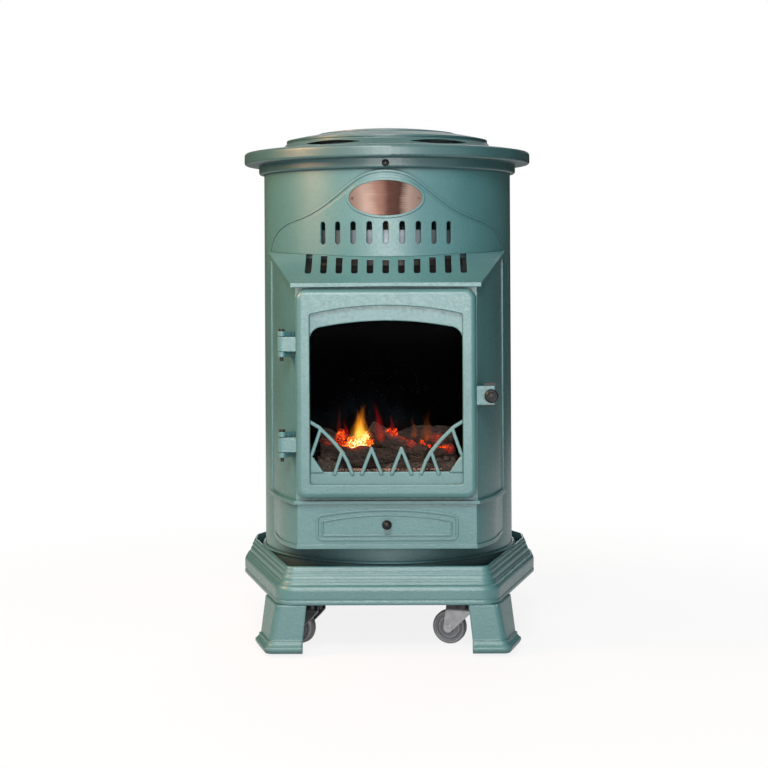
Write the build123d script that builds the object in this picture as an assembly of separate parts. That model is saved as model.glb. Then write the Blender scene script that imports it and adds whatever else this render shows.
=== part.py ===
from build123d import *
import os
from math import asin, atan2, cos, degrees, hypot, radians, sin, sqrt

# Portable gas cabinet heater: a round steel drum on a cast plinth with four castors,
# a cast bay with a glazed door in front, and a pierced cast top.
# Millimetres. Everything is laid out about the drum's own axis, floor at z = 0.
# A plan point is (x, front): front is the distance from the drum axis towards the door.

# ---------------------------------------------------------------- clearances
body_gap = 0.3             # between pieces that move apart
pin_clearance = 0.05       # radial, round a pin or shaft
seat_gap = 0.1             # round a fixed piece let into another

# ---------------------------------------------------------------- base
castor_height = 76.0       # floor to the underside of the base plate
base_plate_thickness = 4.0
base_plate_inset = 9.0     # plate edge inside the plinth's outline
plinth_cheek_lean = 16.2   # degrees between a front cheek and the front-back line
plinth_pan_gap = 0.5       # from the pan to the plinth's inner edge, at the front cheeks
plinth_front_gap = 10.6    # the same in the middle of the front
plinth_side_gap = 17.1     # the same at the sides
plinth_side_run = 50.0     # straight length of a side, behind the widest corner
plinth_corner = 28.0
plinth_height = 53.0
plinth_flange = 3.0        # thickness of the inner flange under the plate
plinth_flange_width = 27.0
plinth_wall = 5.0
plinth_moulding = 18.4     # outer face to the inner top edge

foot_height = 68.0
foot_wall = 6.0
foot_face_width = 40.6     # front face at the top, from its inner edge to the plinth's corner
foot_edge_lean = 5.6       # how far that edge leans outwards by the bottom
foot_cheek_proud = 2.0     # cheek face outside the plinth's cheek, at the top
foot_cheek_flare = 10.1    # how far that face leans outwards by the bottom
foot_cheek_reach_top = 76.0  # cheek end behind the plinth's front, at the top
foot_cheek_reach_low = 60.0
foot_rear_share = 0.78      # of those reaches, on the rear cheeks
foot_front_flare = 2.0
foot_setback = 1.6         # foot face behind the plinth face
foot_corner_radius = 12.0
foot_base_height = 17.0    # height of the moulding round the bottom
foot_base_proud = 8.5
foot_web = 5.0
foot_bolt_radius = 4.0
foot_bolt_inset = 19.0     # from both faces of the plinth
foot_bolt_head = 6.5
foot_bolt_head_height = 5.0

# ---------------------------------------------------------------- castors
castor_inset = 44.9        # swivel axis inside the end of the plinth's front edge
castor_setback = 74.0      # swivel axis behind the plinth's front
castor_wheel_radius = 25.0
castor_wheel_width = 17.0
castor_trail = 21.5
castor_top_radius = 22.0
castor_top_thickness = 3.0
castor_housing_radius = 16.0
castor_housing_height = 5.0
castor_kingpin_radius = 4.0
castor_kingpin_head = 6.5
castor_kingpin_head_height = 1.6
castor_fork_crown = 13.0
castor_fork_end = 7.2      # radius of the fork's end round the axle
castor_fork_wall = 2.0
castor_axle_radius = 3.0
castor_axle_head = 4.6
castor_axle_head_height = 1.6
castor_turns = {"front_right": 164.0, "front_left": 152.0, "rear_right": 118.0, "rear_left": 35.0}

# ---------------------------------------------------------------- drum and pan
drum_radius = 192.5
drum_wall = 1.5
drum_height = 632.0
pan_wall = 1.2
pan_gap = 0.3              # round the drum, inside the pan
pan_rim_reach = 3.0        # rim beyond the pan's wall
pan_rim_thickness = 3.6
tray_radius = 126.0        # raised seat for the gas bottle
tray_rise = 1.5
tray_setback = 8.0         # seat behind the drum axis

# rear opening and its cover
cover_half_angle = 60.0
cover_bottom_rise = 58.4   # above the pan floor
cover_height = 500.0
cover_lap = 7.0            # cover beyond the opening, all round
cover_wall = 1.5
cover_slot_pitch = 9.0
cover_slot_count = 9
cover_slot_row_low = 60.0
cover_slot_row_high = 430.0
grip_half = 45.0
grip_radius = 5.0
grip_stand_off = 18.0
grip_height = 300.0        # above the foot of the cover

# ---------------------------------------------------------------- bay at the front
bay_half = 130.5
bay_front = 219.0
bay_cheek_x = 173.0
bay_cheek_front = 102.0
bay_height = 306.0
bay_wall = 4.0
bay_mouth_half = 111.0
bay_mouth_bottom = 22.0    # above the foot of the bay
bay_mouth_height = 262.0
bay_bead_width = 4.0
bay_bead_proud = 2.0

ledge_height = 5.0
ledge_proud = 5.5

box_rise = 72.0            # underside of the lower box above the pan floor
box_height = 64.5
box_half = 129.0
box_front = 218.0
box_cheek_x = 163.5
box_cheek_front = 135.0
box_return_x = 174.0
box_return_front = 84.0
cheek_bow = 5.5            # how far the cheeks bulge from their chords
box_wall = 4.0
box_lip_height = 6.0
box_lip_proud = 1.6
panel_bead_half = 102.0
panel_bead_bottom = 11.6   # above the underside of the box
panel_bead_side = 48.2
panel_bead_apex = 57.6
panel_bead_width = 3.2
panel_bead_proud = 1.8
panel_field_inset = 8.6
panel_corner = 9.0
drawer_knob_radius = 7.0
drawer_knob_height = 35.6  # above the underside of the box
drawer_knob_neck = 3.0
drawer_knob_stand = 5.0

# ---------------------------------------------------------------- canopy over the door
canopy_lip_half = 136.4
canopy_lip_front = 232.0
canopy_lip_height = 6.5
canopy_rise = 39.5
canopy_side_rise = 45.5
canopy_side_x = 180.0
canopy_side_front = 92.0
canopy_seam_front = 194.5
canopy_slot_count = 11
canopy_slot_pitch = 22.6
canopy_slot_width = 9.6
canopy_slot_bottom = 20.0  # above the underside of the lip
canopy_slot_top = 39.0
canopy_slot_top_gain = 10.0

# ---------------------------------------------------------------- upper front panel
ogee_height = 124.3
ogee_thickness = 2.8
ogee_field = 1.4           # the raised field inside the border
ogee_border = 7.5
vent_count = 9
vent_pitch = 7.0           # degrees round the drum
vent_width = 8.3
vent_height = 33.6
vent_rise = 16.0           # above the canopy seam
badge_rise = 83.2
badge_half_width = 53.5
badge_half_height = 25.6
badge_thickness = 1.0
badge_rim = 3.6
badge_rim_proud = 1.7
badge_rivet_x = 48.7
badge_rivet_radius = 1.9
badge_rivet_proud = 1.1

guard_radius = 181.0
guard_wall = 1.2
guard_half_angle = 36.0
guard_height = 52.0
guard_drop = 15.0          # foot of the guard below the canopy seam

# ---------------------------------------------------------------- top
top_overhang = 22.5        # brim beyond the collar
top_edge_height = 20.2
top_collar_wall = 7.7
top_collar_height = 14.6
top_plate = 4.0
top_mouth_radius = 158.0
ring_foot_radius = 170.6
ring_head_radius = 157.5
ring_height = 14.0
ring_wall = 3.0
ring_slot_count = 6
ring_slot_half = 50.0
ring_slot_height = 6.6
lid_radius = 157.0
lid_edge = 5.0
lid_crown = 18.0
lid_wall = 4.0
lid_step_radius = 107.0
lid_step = 1.4
lid_bolt_radius = 4.0
lid_bridge_width = 24.0
top_screw_radius = 5.5
top_screw_head = 2.6
top_screw_shank = 2.5
top_screw_length = 12.0
top_screw_count = 3

# ---------------------------------------------------------------- door
door_gap_low = 5.0
door_half = 129.0
door_height = 298.5
door_thickness = 18.0
door_corner = 14.5
door_edge = 8.5
door_lift = 3.0            # door back clear of the bay
recess_half = 109.0
recess_bottom = 20.5       # above the door's lower edge
recess_side = 263.0
recess_apex = 275.3
rebate = 3.8
insert_setback = 8.0
insert_thickness = 5.0
insert_bar_top = 37.8
arch_apex = 253.6
arch_shoulder = 245.0
arch_shoulder_x = 91.0
arch_spring = 229.0
bar_width = 4.8
bar_proud = 1.5
glass_thickness = 5.0
clip_width = 16.0
clip_length = 11.0
clip_lap = 3.0             # clip over the insert, inside the recess's edge
clip_thickness = 1.5
clip_z_low = 46.0
clip_z_high = 226.0

hinge_x = 149.5
hinge_front = 226.0
hinge_pin_radius = 2.6
hinge_pin_head = 4.4
hinge_pin_head_height = 3.2
hinge_pin_tail = 6.0
hinge_knuckle_radius = 6.4
hinge_knuckle_height = 7.2
hinge_gap = 0.7
hinge_lug_height = 20.8
hinge_lug_low = 66.2       # foot of the lower lug above the door's lower edge
hinge_lug_high = 210.0
hinge_lug_radius = 6.8
hinge_lug_front = 233.0
hinge_plate_thickness = 3.0
hinge_plate_width = 15.0

latch_x = 149.5
latch_height = 27.0
latch_lug_bottom = 132.6
latch_lug_end = 155.5
latch_shaft_radius = 3.0
latch_knob_radius = 9.7
latch_knob_length = 15.0
latch_cam_length = 9.0
latch_cam_width = 7.0
latch_cam_thickness = 4.0
latch_cam_gap = 9.5        # cam's front face behind the lug
keeper_thickness = 3.0
keeper_gap = 1.6
keeper_reach = 142.3
keeper_height = 24.0
keeper_plate_length = 23.0
keeper_web = 3.0           # upright bar that joins the two ears
keeper_ear_end = 157.0
keeper_ear_high = 17.0     # ends of the ears from the shaft's axis
keeper_ear_gap_high = 9.0  # the space between them, for the cam to come out
keeper_ear_gap_low = 12.5

# ---------------------------------------------------------------- inside
firebox_half = 118.0
firebox_back = 133.0
firebox_wall = 1.5
firebox_bottom_rise = 16.0  # above the foot of the bay
firebox_height = 284.0
firebox_slot_half = 80.0
firebox_slot_back = 14.0   # slot in the roof, in front of the back wall
firebox_slot_depth = 30.0
bulkhead_half = 137.0
bulkhead_thickness = 1.5
bulkhead_height = 494.0
burner_half = 96.0
burner_front = 204.0
burner_back = 148.0
burner_height = 16.0
bed_half = 106.0
bed_front = 210.0
bed_back = 142.0
bed_height = 10.0
bed_ridge_half = 96.0      # ridge along the back of the bed
bed_ridge_depth = 26.0
bed_ridge_height = 14.0
log_radius = 19.0
log_mid = 13.0             # heights of the logs' axes above the bed
log_high = 32.0
pipe_radius = 4.0
pipe_x = 30.0
pipe_bend = 18.0
pipe_hole_gap = 3.5
valve_z_drop = 42.0        # valve centre below the top of the drum
valve_half = 20.0
valve_depth = 44.0
valve_height = 46.0
valve_plate = 2.0
valve_plate_half = 30.0
valve_plate_height = 56.0
valve_plate_back = 186.2
spindle_radius = 4.0
spindle_travel = 5.0
knob_radius = 19.0
knob_length = 17.0
knob_gap = 2.0
hose_tail_radius = 4.25
hose_tail_length = 30.0
piezo_angle = 22.0
piezo_radius = 8.8
piezo_length = 42.0
piezo_flange = 12.0
piezo_flange_thickness = 2.6
button_radius = 6.0
button_travel = 5.0
button_proud = 8.0
button_seat = 12.0

# ---------------------------------------------------------------- levels and places that follow
pan_outer = drum_radius + pan_gap + pan_wall
pan_rim_radius = pan_outer + pan_rim_reach
plinth_side_half = pan_outer + plinth_side_gap + plinth_moulding
plinth_depth_half = pan_outer + plinth_front_gap + plinth_moulding
plinth_cheek_out = pan_outer + plinth_pan_gap + plinth_moulding
lean_x, lean_front = cos(radians(plinth_cheek_lean)), sin(radians(plinth_cheek_lean))
plinth_front_half = (plinth_cheek_out - plinth_depth_half * lean_front) / lean_x
plinth_side_front = (plinth_cheek_out - plinth_side_half * lean_x) / lean_front
plinth_side_rear = plinth_side_front - plinth_side_run
foot_edge = plinth_front_half - foot_face_width
castor_x = plinth_front_half - castor_inset
castor_front = plinth_depth_half - castor_setback
top_collar_radius = drum_radius + body_gap + top_collar_wall
top_radius = top_collar_radius + top_overhang
plinth_bottom = castor_height - plinth_flange
foot_bottom = plinth_bottom - foot_height
plate_top = castor_height + base_plate_thickness
pan_floor = plate_top + pan_wall
drum_bottom = pan_floor + body_gap
drum_top = drum_bottom + drum_height
plinth_top = plinth_bottom + plinth_height
pan_rim_bottom = plinth_top + body_gap
cover_bottom = pan_floor + cover_bottom_rise
box_bottom = pan_floor + box_rise
ledge_bottom = box_bottom + box_height
bay_bottom = ledge_bottom + ledge_height
lip_bottom = bay_bottom + bay_height
seam_z = lip_bottom + canopy_lip_height + canopy_rise
seam_side_z = lip_bottom + canopy_lip_height + canopy_side_rise
top_bottom = drum_top + body_gap
collar_bottom = top_bottom + 2.0 - top_collar_height
brim_bottom = collar_bottom + top_collar_height
top_surface = brim_bottom + top_edge_height
ring_top = top_surface + ring_height
door_bottom = bay_bottom + door_gap_low
door_back = bay_front + door_lift
door_front = door_back + door_thickness
insert_front = door_front - insert_setback
insert_back = insert_front - insert_thickness
glass_back = insert_back - glass_thickness
latch_z = door_bottom + latch_lug_bottom + latch_height / 2
firebox_bottom = bay_bottom + firebox_bottom_rise
firebox_floor = firebox_bottom + firebox_wall
burner_top = firebox_floor + burner_height
bed_top = burner_top + bed_height
valve_z = drum_top - valve_z_drop
cam_front = door_back - latch_cam_gap
latch_knob_face = hinge_lug_front + latch_knob_length
foot_face = plinth_depth_half - foot_setback
foot_reach = foot_face + foot_front_flare + foot_base_proud
axis_shift = (max(latch_knob_face, foot_reach) - foot_reach) / 2

UP = (0, 0, 1)
FORWARD = (0, -1, 0)


def outline(points):
    """A plan outline through (x, front) points."""
    return Polygon(*[(x, -front) for x, front in points], align=None)


def prism(points, low, high):
    """A plan outline, or a ready plan face, raised from one level to another."""
    face = outline(points) if isinstance(points, list) else points
    return extrude(Pos(0, 0, low) * face, high - low, dir=UP)


def mirrored(points):
    """The plan points of one side, and the same points on the other side."""
    return points + [(-x, front) for x, front in reversed(points)]


def elevation(face, back, front):
    """A face drawn in (x, z), given depth between two front distances."""
    return extrude(Plane.XZ.offset(back) * face, front - back, dir=FORWARD)


def block(x0, x1, back, front, z0, z1):
    """A plain rectangular piece of stock."""
    return prism([(x0, front), (x1, front), (x1, back), (x0, back)], z0, z1)


def turned(profile):
    """A profile of (radius, z) points turned about the drum axis."""
    return revolve(Plane.XZ * Polygon(*profile, align=None), axis=Axis.Z)


def post(x, front, radius, low, high):
    """An upright cylinder."""
    return Pos(x, -front, low) * Cylinder(radius, high - low, align=(Align.CENTER, Align.CENTER, Align.MIN))


def forward_rod(x, z, radius, back, front):
    """A cylinder that points to the front."""
    rod = Cylinder(radius, front - back, align=(Align.CENTER, Align.CENTER, Align.MIN))
    return Pos(x, -back, z) * Rot(90, 0, 0) * rod


def shell(inner, outer, low, high, start, end):
    """Part of a round wall; angles run from the front towards +X."""
    section = Plane.XZ * Polygon((inner, low), (outer, low), (outer, high), (inner, high), align=None)
    return Rot(0, 0, start - 90) * revolve(section, axis=Axis.Z, revolution_arc=end - start)


def obround(width, height):
    """An upright slot outline in (x, z) about its own centre."""
    return Rot(0, 0, 90) * SlotOverall(height, width)


def both_sides(piece):
    return piece + mirror(piece, Plane.YZ)


# ---------------------------------------------------------------- base
def plinth_plan(inset=0.0):
    """The plinth's eight-sided plan, widest behind the middle, with its rounded corners."""
    right = [(plinth_front_half, -plinth_depth_half), (plinth_side_half, plinth_side_rear),
             (plinth_side_half, plinth_side_front), (plinth_front_half, plinth_depth_half)]
    face = outline(mirrored(right))
    face = fillet(face.vertices(), plinth_corner)
    return offset(face, amount=-inset) if inset else face


# the plinth's moulding from its foot upwards, as shares of its depth and height
plinth_profile = [
    (0.03, 0.0), (0.0, 0.015), (0.0, 0.1), (0.05, 0.117), (0.05, 0.136), (0.01, 0.155), (0.0, 0.4), (0.05, 0.46),
    (0.16, 0.505), (0.33, 0.525), (0.36, 0.547), (0.35, 0.574), (0.4, 0.6), (0.47, 0.611), (0.49, 0.634),
    (0.49, 0.69), (0.54, 0.743), (0.65, 0.777), (0.66, 0.804), (0.66, 0.86), (0.73, 0.875), (0.77, 0.894),
    (0.79, 0.955), (0.86, 0.985), (0.92, 1.0), (1.0, 1.0),
]


def make_plinth():
    """Moulded ring: one section carried round the outline."""
    path = plinth_plan().faces()[0].outer_wire()
    start, along = path.position_at(0), path.tangent_at(0)
    inward = along.cross(Vector(0, 0, 1))
    if inward.dot(start) > 0:
        inward = -inward
    top = plinth_height
    depth = plinth_moulding
    wall = plinth_wall
    face = [(x * depth, z * top) for x, z in plinth_profile]
    back = [
        (depth, 0.8 * top), (depth - 1.5, 0.68 * top), (wall + 9.0, 0.55 * top), (wall + 4.0, 0.45 * top),
        (wall, plinth_flange + 8.0), (wall, plinth_flange),
        (plinth_flange_width, plinth_flange), (plinth_flange_width, 0.0),
    ]
    plane = Plane(origin=start, x_dir=inward, z_dir=inward.cross(Vector(0, 0, 1)))
    ring = sweep(plane * Polygon(*(face + back), align=None), path=path)
    ring = Pos(0, 0, plinth_bottom) * ring
    for x, front in foot_bolt_places():
        ring -= post(x, front, foot_bolt_radius + seat_gap, plinth_bottom, castor_height)
    return ring


def plan_line(start, end):
    """Outward normal and distance from the drum axis of the line through two plan points."""
    length = hypot(end[0] - start[0], start[1] - end[1])
    normal = ((start[1] - end[1]) / length, (end[0] - start[0]) / length)
    return normal, start[0] * normal[0] + start[1] * normal[1]


def on_line(normal, distance, front):
    """The point of a line at one front distance."""
    return (distance - normal[1] * front) / normal[0], front


def plinth_cheek(level):
    """The plinth's cheek that ends at one level; a rear cheek is measured to the rear."""
    return plan_line((plinth_front_half, plinth_depth_half), (plinth_side_half, level))


def foot_plan(cheek, proud, front, end, edge, outset=0.0):
    """An L-shaped plan: a front leg and a cheek leg of one wall thickness."""
    normal, distance = cheek
    distance += proud
    corner = on_line(normal, distance + outset, front + outset)
    inner_corner = on_line(normal, distance - foot_wall, front - foot_wall)
    x, level = on_line(normal, distance, end)
    outer_end = (x + normal[0] * outset, level + normal[1] * outset)
    inner_end = (x - normal[0] * foot_wall, level - normal[1] * foot_wall)
    face = outline([(edge, front + outset), corner, outer_end, inner_end, inner_corner, (edge, front - foot_wall)])
    by_corner = face.vertices().sort_by_distance((corner[0], -corner[1]))[0]
    face = fillet([by_corner], foot_corner_radius)
    by_inner = face.vertices().sort_by_distance((inner_corner[0], -inner_corner[1]))[0]
    return fillet([by_inner], foot_corner_radius - foot_wall)


def make_foot(cheek, share=1.0):
    """A front right foot along one cheek; the others are mirror images."""
    low = foot_bottom + foot_base_height
    end_top = plinth_depth_half - foot_cheek_reach_top * share
    end_low = plinth_depth_half - foot_cheek_reach_low * share
    low_shape = (cheek, foot_cheek_proud + foot_cheek_flare, foot_face + foot_front_flare, end_low,
                 foot_edge + foot_edge_lean)
    top_plan = Pos(0, 0, plinth_bottom) * foot_plan(cheek, foot_cheek_proud, foot_face, end_top, foot_edge)
    foot = loft([Pos(0, 0, low) * foot_plan(*low_shape), top_plan], ruled=True)
    steps = [(1.0, 2.6), (0.78, 3.0), (0.6, 6.0), (0.5, foot_base_proud), (0.28, foot_base_proud), (0.0, 5.5)]
    for (upper, upper_out), (lower, lower_out) in zip(steps, steps[1:]):
        layers = []
        for share, outset in ((lower, lower_out), (upper, upper_out)):
            layers.append(Pos(0, 0, foot_bottom + share * foot_base_height) * foot_plan(*low_shape, outset))
        foot += loft(layers, ruled=True)
    normal, distance = cheek
    corner = on_line(normal, distance + foot_cheek_proud - 1, foot_face - 1)
    web = [(foot_edge, foot_face - 1), corner, on_line(normal, distance + foot_cheek_proud - 1, end_top)]
    foot += prism(web, plinth_bottom - foot_web, plinth_bottom)
    x, front = foot_bolt_place(cheek)
    return foot - post(x, front, foot_bolt_radius + seat_gap, plinth_bottom - foot_web, plinth_bottom)


def foot_bolt_place(cheek):
    """The bolt stands equally far inside the plinth's front and its cheek."""
    normal, distance = cheek
    return on_line(normal, distance - foot_bolt_inset, plinth_depth_half - foot_bolt_inset)


def foot_bolt_places():
    places = []
    for level, end in ((plinth_side_front, 1), (-plinth_side_rear, -1)):
        x, front = foot_bolt_place(plinth_cheek(level))
        places += [(x, end * front), (-x, end * front)]
    return places


def make_foot_bolts():
    bolts = Part()
    head_top = plinth_bottom - foot_web
    for x, front in foot_bolt_places():
        head = extrude(Pos(x, -front, head_top) * RegularPolygon(foot_bolt_head, 6), -foot_bolt_head_height)
        bolts += head + post(x, front, foot_bolt_radius, head_top, plate_top - 1)
    return bolts


def make_base_plate():
    plate = prism(plinth_plan(base_plate_inset), castor_height, plate_top)
    for x, front in foot_bolt_places():
        plate -= post(x, front, foot_bolt_radius + seat_gap, castor_height, plate_top)
    return plate


def make_base_pan():
    """Round pan that holds the drum, with a raised seat for the gas bottle."""
    inner = drum_radius + pan_gap
    outer = pan_outer
    rim_top = pan_rim_bottom + pan_rim_thickness
    profile = [
        (0, plate_top), (outer, plate_top), (outer, pan_rim_bottom), (pan_rim_radius - 1.0, pan_rim_bottom),
        (pan_rim_radius, pan_rim_bottom + 1.0), (pan_rim_radius, rim_top - 1.5), (pan_rim_radius - 1.5, rim_top),
        (inner, rim_top), (inner, pan_floor), (0, pan_floor),
    ]
    return turned(profile) + post(0, -tray_setback, tray_radius, plate_top, pan_floor + tray_rise)


# ---------------------------------------------------------------- castors (local: swivel axis at x = 0, trail +X)
def make_castor_top():
    """Fixed top with its kingpin."""
    housing_bottom = castor_height - castor_top_thickness - castor_housing_height
    crown_bottom = housing_bottom - body_gap - castor_fork_crown
    top = post(0, 0, castor_top_radius, castor_height - castor_top_thickness, castor_height)
    top += post(0, 0, castor_housing_radius, housing_bottom, castor_height)
    top += post(0, 0, castor_kingpin_radius, crown_bottom - body_gap, castor_height)
    head_top = crown_bottom - body_gap
    return top + post(0, 0, castor_kingpin_head, head_top - castor_kingpin_head_height, head_top)


def make_castor_fork():
    """Pressed fork: a crown and two cheeks that lean back to the axle."""
    top = castor_height - castor_top_thickness - castor_housing_height - body_gap
    bottom = top - castor_fork_crown
    inner = castor_wheel_width / 2 + 1.0
    outer = inner + castor_fork_wall
    crown = post(0, 0, castor_housing_radius - 1.0, bottom, top)
    axle_z, end = castor_wheel_radius, castor_fork_end
    lead, trail = -castor_housing_radius, castor_trail
    cheek = Polygon(
        (lead, top), (lead, bottom - 3), (lead + 6.5, bottom - 10), (trail - end, axle_z - 3),
        (trail + end, axle_z), (trail + end * 0.4, bottom), (trail + end * 0.3, top - 3), (castor_housing_radius, top),
        align=None,
    )
    cheek += Pos(trail, axle_z) * Circle(end)
    side = extrude(Plane.XZ.offset(inner) * cheek, castor_fork_wall, dir=FORWARD)
    bridge = block(lead, castor_housing_radius, -outer, outer, top - 2.5, top)
    fork = crown + bridge + side + mirror(side, Plane.XZ)
    fork -= post(0, 0, castor_kingpin_radius + pin_clearance, bottom - 1, top + 1)
    return fork - castor_rod(castor_axle_radius + pin_clearance, outer + 1)


def castor_rod(radius, half):
    """A rod on the castor's wheel axis."""
    rod = Cylinder(radius, 2 * half)
    return Pos(castor_trail, 0, castor_wheel_radius) * Rot(90, 0, 0) * rod


def make_castor_axle():
    half = castor_wheel_width / 2 + 1.0 + castor_fork_wall
    axle = castor_rod(castor_axle_radius, half + castor_axle_head_height)
    heads = castor_rod(castor_axle_head, half + castor_axle_head_height)
    return axle + (heads - castor_rod(castor_axle_head + 1, half))


def make_castor_wheel():
    """Tyre and hub in one moulding, with the ring steps that show on its side."""
    radius, half = castor_wheel_radius, castor_wheel_width / 2
    hub, web = 7.5, 3.2
    side = [
        (castor_axle_radius + pin_clearance, half), (hub, half), (hub + 1, web + 2), (radius - 9, web + 1.2),
        (radius - 8, half - 1.8), (radius - 5, half - 0.6), (radius - 4.4, half - 1.4), (radius - 3.6, half - 1.0),
        (radius - 1.2, half - 2.6), (radius, half - 5.0),
    ]
    points = side + [(r, -y) for r, y in reversed(side)]
    wheel = revolve(Plane.XZ * Polygon(*points, align=None), axis=Axis.Z)
    return Pos(castor_trail, 0, castor_wheel_radius) * Rot(90, 0, 0) * wheel


def castor_place(name):
    """Where a castor stands and which way it trails."""
    x = castor_x if name.endswith("right") else -castor_x
    front = castor_front if name.startswith("front") else -castor_front
    return Pos(x, -front, 0) * Rot(0, 0, castor_turns[name])


# ---------------------------------------------------------------- drum
def make_drum():
    inner = drum_radius - drum_wall
    drum = shell(inner, drum_radius, drum_bottom, drum_top, 0, 360)
    cut_half = bulkhead_half + 0.5
    drum -= block(-cut_half, cut_half, 60, 260, bay_bottom + bay_wall, seam_z - 4)
    window = radians(vent_pitch * (vent_count - 1) / 2 + 4)
    half = drum_radius * sin(window)
    drum -= block(-half, half, 60, 260, seam_z + vent_rise - 5, seam_z + vent_rise + vent_height + 5)
    opening = shell(inner - 5, drum_radius + 5, cover_bottom, cover_bottom + cover_height,
                    180 - cover_half_angle, 180 + cover_half_angle)
    drum -= opening
    drum -= forward_rod(0, valve_z, spindle_radius + 2.5, -260, -60)
    drum -= Rot(0, 0, piezo_angle) * forward_rod(0, valve_z, piezo_radius + seat_gap, -260, -60)
    for angle in screw_angles():
        drum -= Rot(0, 0, angle) * forward_rod(0, screw_z(), top_screw_shank + 0.5, 60, 260)
    return drum


def make_rear_cover():
    """Curved cover that laps over the rear opening and lifts away."""
    inner = drum_radius + body_gap
    lap = degrees(cover_lap / drum_radius)
    start, end = 180 - cover_half_angle - lap, 180 + cover_half_angle + lap
    low, high = cover_bottom - cover_lap, cover_bottom + cover_height + cover_lap
    cover = shell(inner, inner + cover_wall, low, high, start, end)
    middle = (cover_slot_count - 1) / 2
    for row in (cover_slot_row_low, cover_slot_row_high):
        for index in range(cover_slot_count):
            slot = elevation(Pos(0, cover_bottom + row) * obround(vent_width, vent_height), 60, 260)
            cover -= Rot(0, 0, 180 + (index - middle) * cover_slot_pitch) * slot
    return cover


def make_rear_grip():
    """Bar grip on the rear cover, carried on two posts."""
    radius = drum_radius + body_gap + cover_wall
    z = cover_bottom + grip_height
    reach = radius + grip_stand_off
    bar = Pos(0, reach, z) * Rot(0, 90, 0) * Cylinder(grip_radius, 2 * (grip_half + grip_radius))
    grip = bar
    for x in (-grip_half, grip_half):
        grip += forward_rod(x, z, grip_radius + 1, -reach, -(radius - 25))
    return grip - post(0, 0, radius, z - 30, z + 30)


# ---------------------------------------------------------------- lower box, ledge and bay
def trim_to_drum(piece):
    """Leave nothing of a casting inside the drum."""
    return piece - post(0, 0, drum_radius + seat_gap, 0, top_surface)


def bow_middle(start, end):
    """Middle of the bowed line between two plan points."""
    normal, distance = plan_line(start, end)
    return ((start[0] + end[0]) / 2 + normal[0] * cheek_bow, (start[1] + end[1]) / 2 + normal[1] * cheek_bow)


def tapered_plan(half, front, cheek_x, cheek_front, tail_x, tail_front):
    """Plan of a casting: straight in front, with bowed cheeks and straight tails."""
    middle_x, middle_front = bow_middle((half, front), (cheek_x, cheek_front))
    return face_of(
        Line((-half, -front), (half, -front)),
        ThreePointArc((half, -front), (middle_x, -middle_front), (cheek_x, -cheek_front)),
        Line((cheek_x, -cheek_front), (tail_x, -tail_front)),
        Line((tail_x, -tail_front), (-tail_x, -tail_front)),
        Line((-tail_x, -tail_front), (-cheek_x, -cheek_front)),
        ThreePointArc((-cheek_x, -cheek_front), (-middle_x, -middle_front), (-half, -front)),
    )


def arched_panel(half, bottom, side, apex, corner):
    """A panel outline in (x, z) with a bowed top and rounded corners."""
    edges = Polyline((-half, side), (-half, bottom), (half, bottom), (half, side))
    edges += ThreePointArc((half, side), (0, apex), (-half, side))
    face = make_face(edges)
    return fillet(face.vertices(), corner) if corner else face


def make_lower_box():
    """Casting under the door with the dummy drawer front moulded on it."""
    wall = box_wall
    plan = tapered_plan(box_half, box_front, box_cheek_x, box_cheek_front, box_return_x, box_return_front)
    inner = tapered_plan(box_half - wall * 0.7, box_front - wall, box_cheek_x - wall, box_cheek_front - wall * 0.6,
                         box_return_x - wall, box_return_front - wall)
    box = prism(plan, box_bottom, ledge_bottom) - prism(inner, box_bottom - 1, ledge_bottom - wall)
    lip = tapered_plan(box_half + box_lip_proud * 0.6, box_front + box_lip_proud, box_cheek_x + box_lip_proud,
                       box_cheek_front + box_lip_proud * 0.6, box_return_x, box_return_front)
    box += prism(lip, box_bottom, box_bottom + box_lip_height) - prism(inner, box_bottom - 1, ledge_bottom)
    for inset, proud in ((0.0, panel_bead_proud), (panel_field_inset, panel_bead_proud * 0.8)):
        half = panel_bead_half - inset
        bottom = box_bottom + panel_bead_bottom + inset * 0.8
        side = box_bottom + panel_bead_side - inset
        apex = box_bottom + panel_bead_apex - inset
        corner = panel_corner if not inset else panel_corner / 4
        outer = arched_panel(half, bottom, side, apex, corner)
        hollow = offset(outer, amount=-panel_bead_width if not inset else -1.6)
        box += elevation(outer - hollow, box_front - 1, box_front + proud)
    box -= forward_rod(0, box_bottom + drawer_knob_height, drawer_knob_neck + seat_gap, 150, 260)
    return trim_to_drum(box)


def make_drawer_knob():
    """Ball knob with its neck and the nut behind the casting."""
    z = box_bottom + drawer_knob_height
    centre = box_front + drawer_knob_stand + drawer_knob_radius * 0.75
    knob = Pos(0, -centre, z) * Sphere(drawer_knob_radius)
    knob += forward_rod(0, z, drawer_knob_neck + 1.4, box_front, box_front + 3)
    knob += forward_rod(0, z, drawer_knob_neck, box_front - box_wall - 6, centre)
    return knob + forward_rod(0, z, drawer_knob_neck + 2.5, box_front - box_wall - 3.5, box_front - box_wall)


def make_ledge():
    """Moulded ledge between the lower box and the bay."""
    proud = ledge_proud
    plan = tapered_plan(bay_half + proud * 0.5, bay_front + proud, bay_cheek_x + proud * 0.8,
                        bay_cheek_front + proud * 0.4, bay_cheek_x - bay_wall, bay_cheek_front - 6 * bay_wall)
    inner = tapered_plan(bay_half - 9, bay_front - 3 * bay_wall, bay_cheek_x - 3 * bay_wall, bay_cheek_front - 6,
                         bay_cheek_x - 5 * bay_wall, bay_cheek_front - 8 * bay_wall)
    ledge = prism(plan, ledge_bottom, bay_bottom) - prism(inner, ledge_bottom, bay_bottom)
    return trim_to_drum(ledge)


def face_of(*lines):
    """A face bounded by lines and arcs that meet end to end."""
    edges = []
    for line in lines:
        edges += line.edges()
    return make_face(edges)


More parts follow.
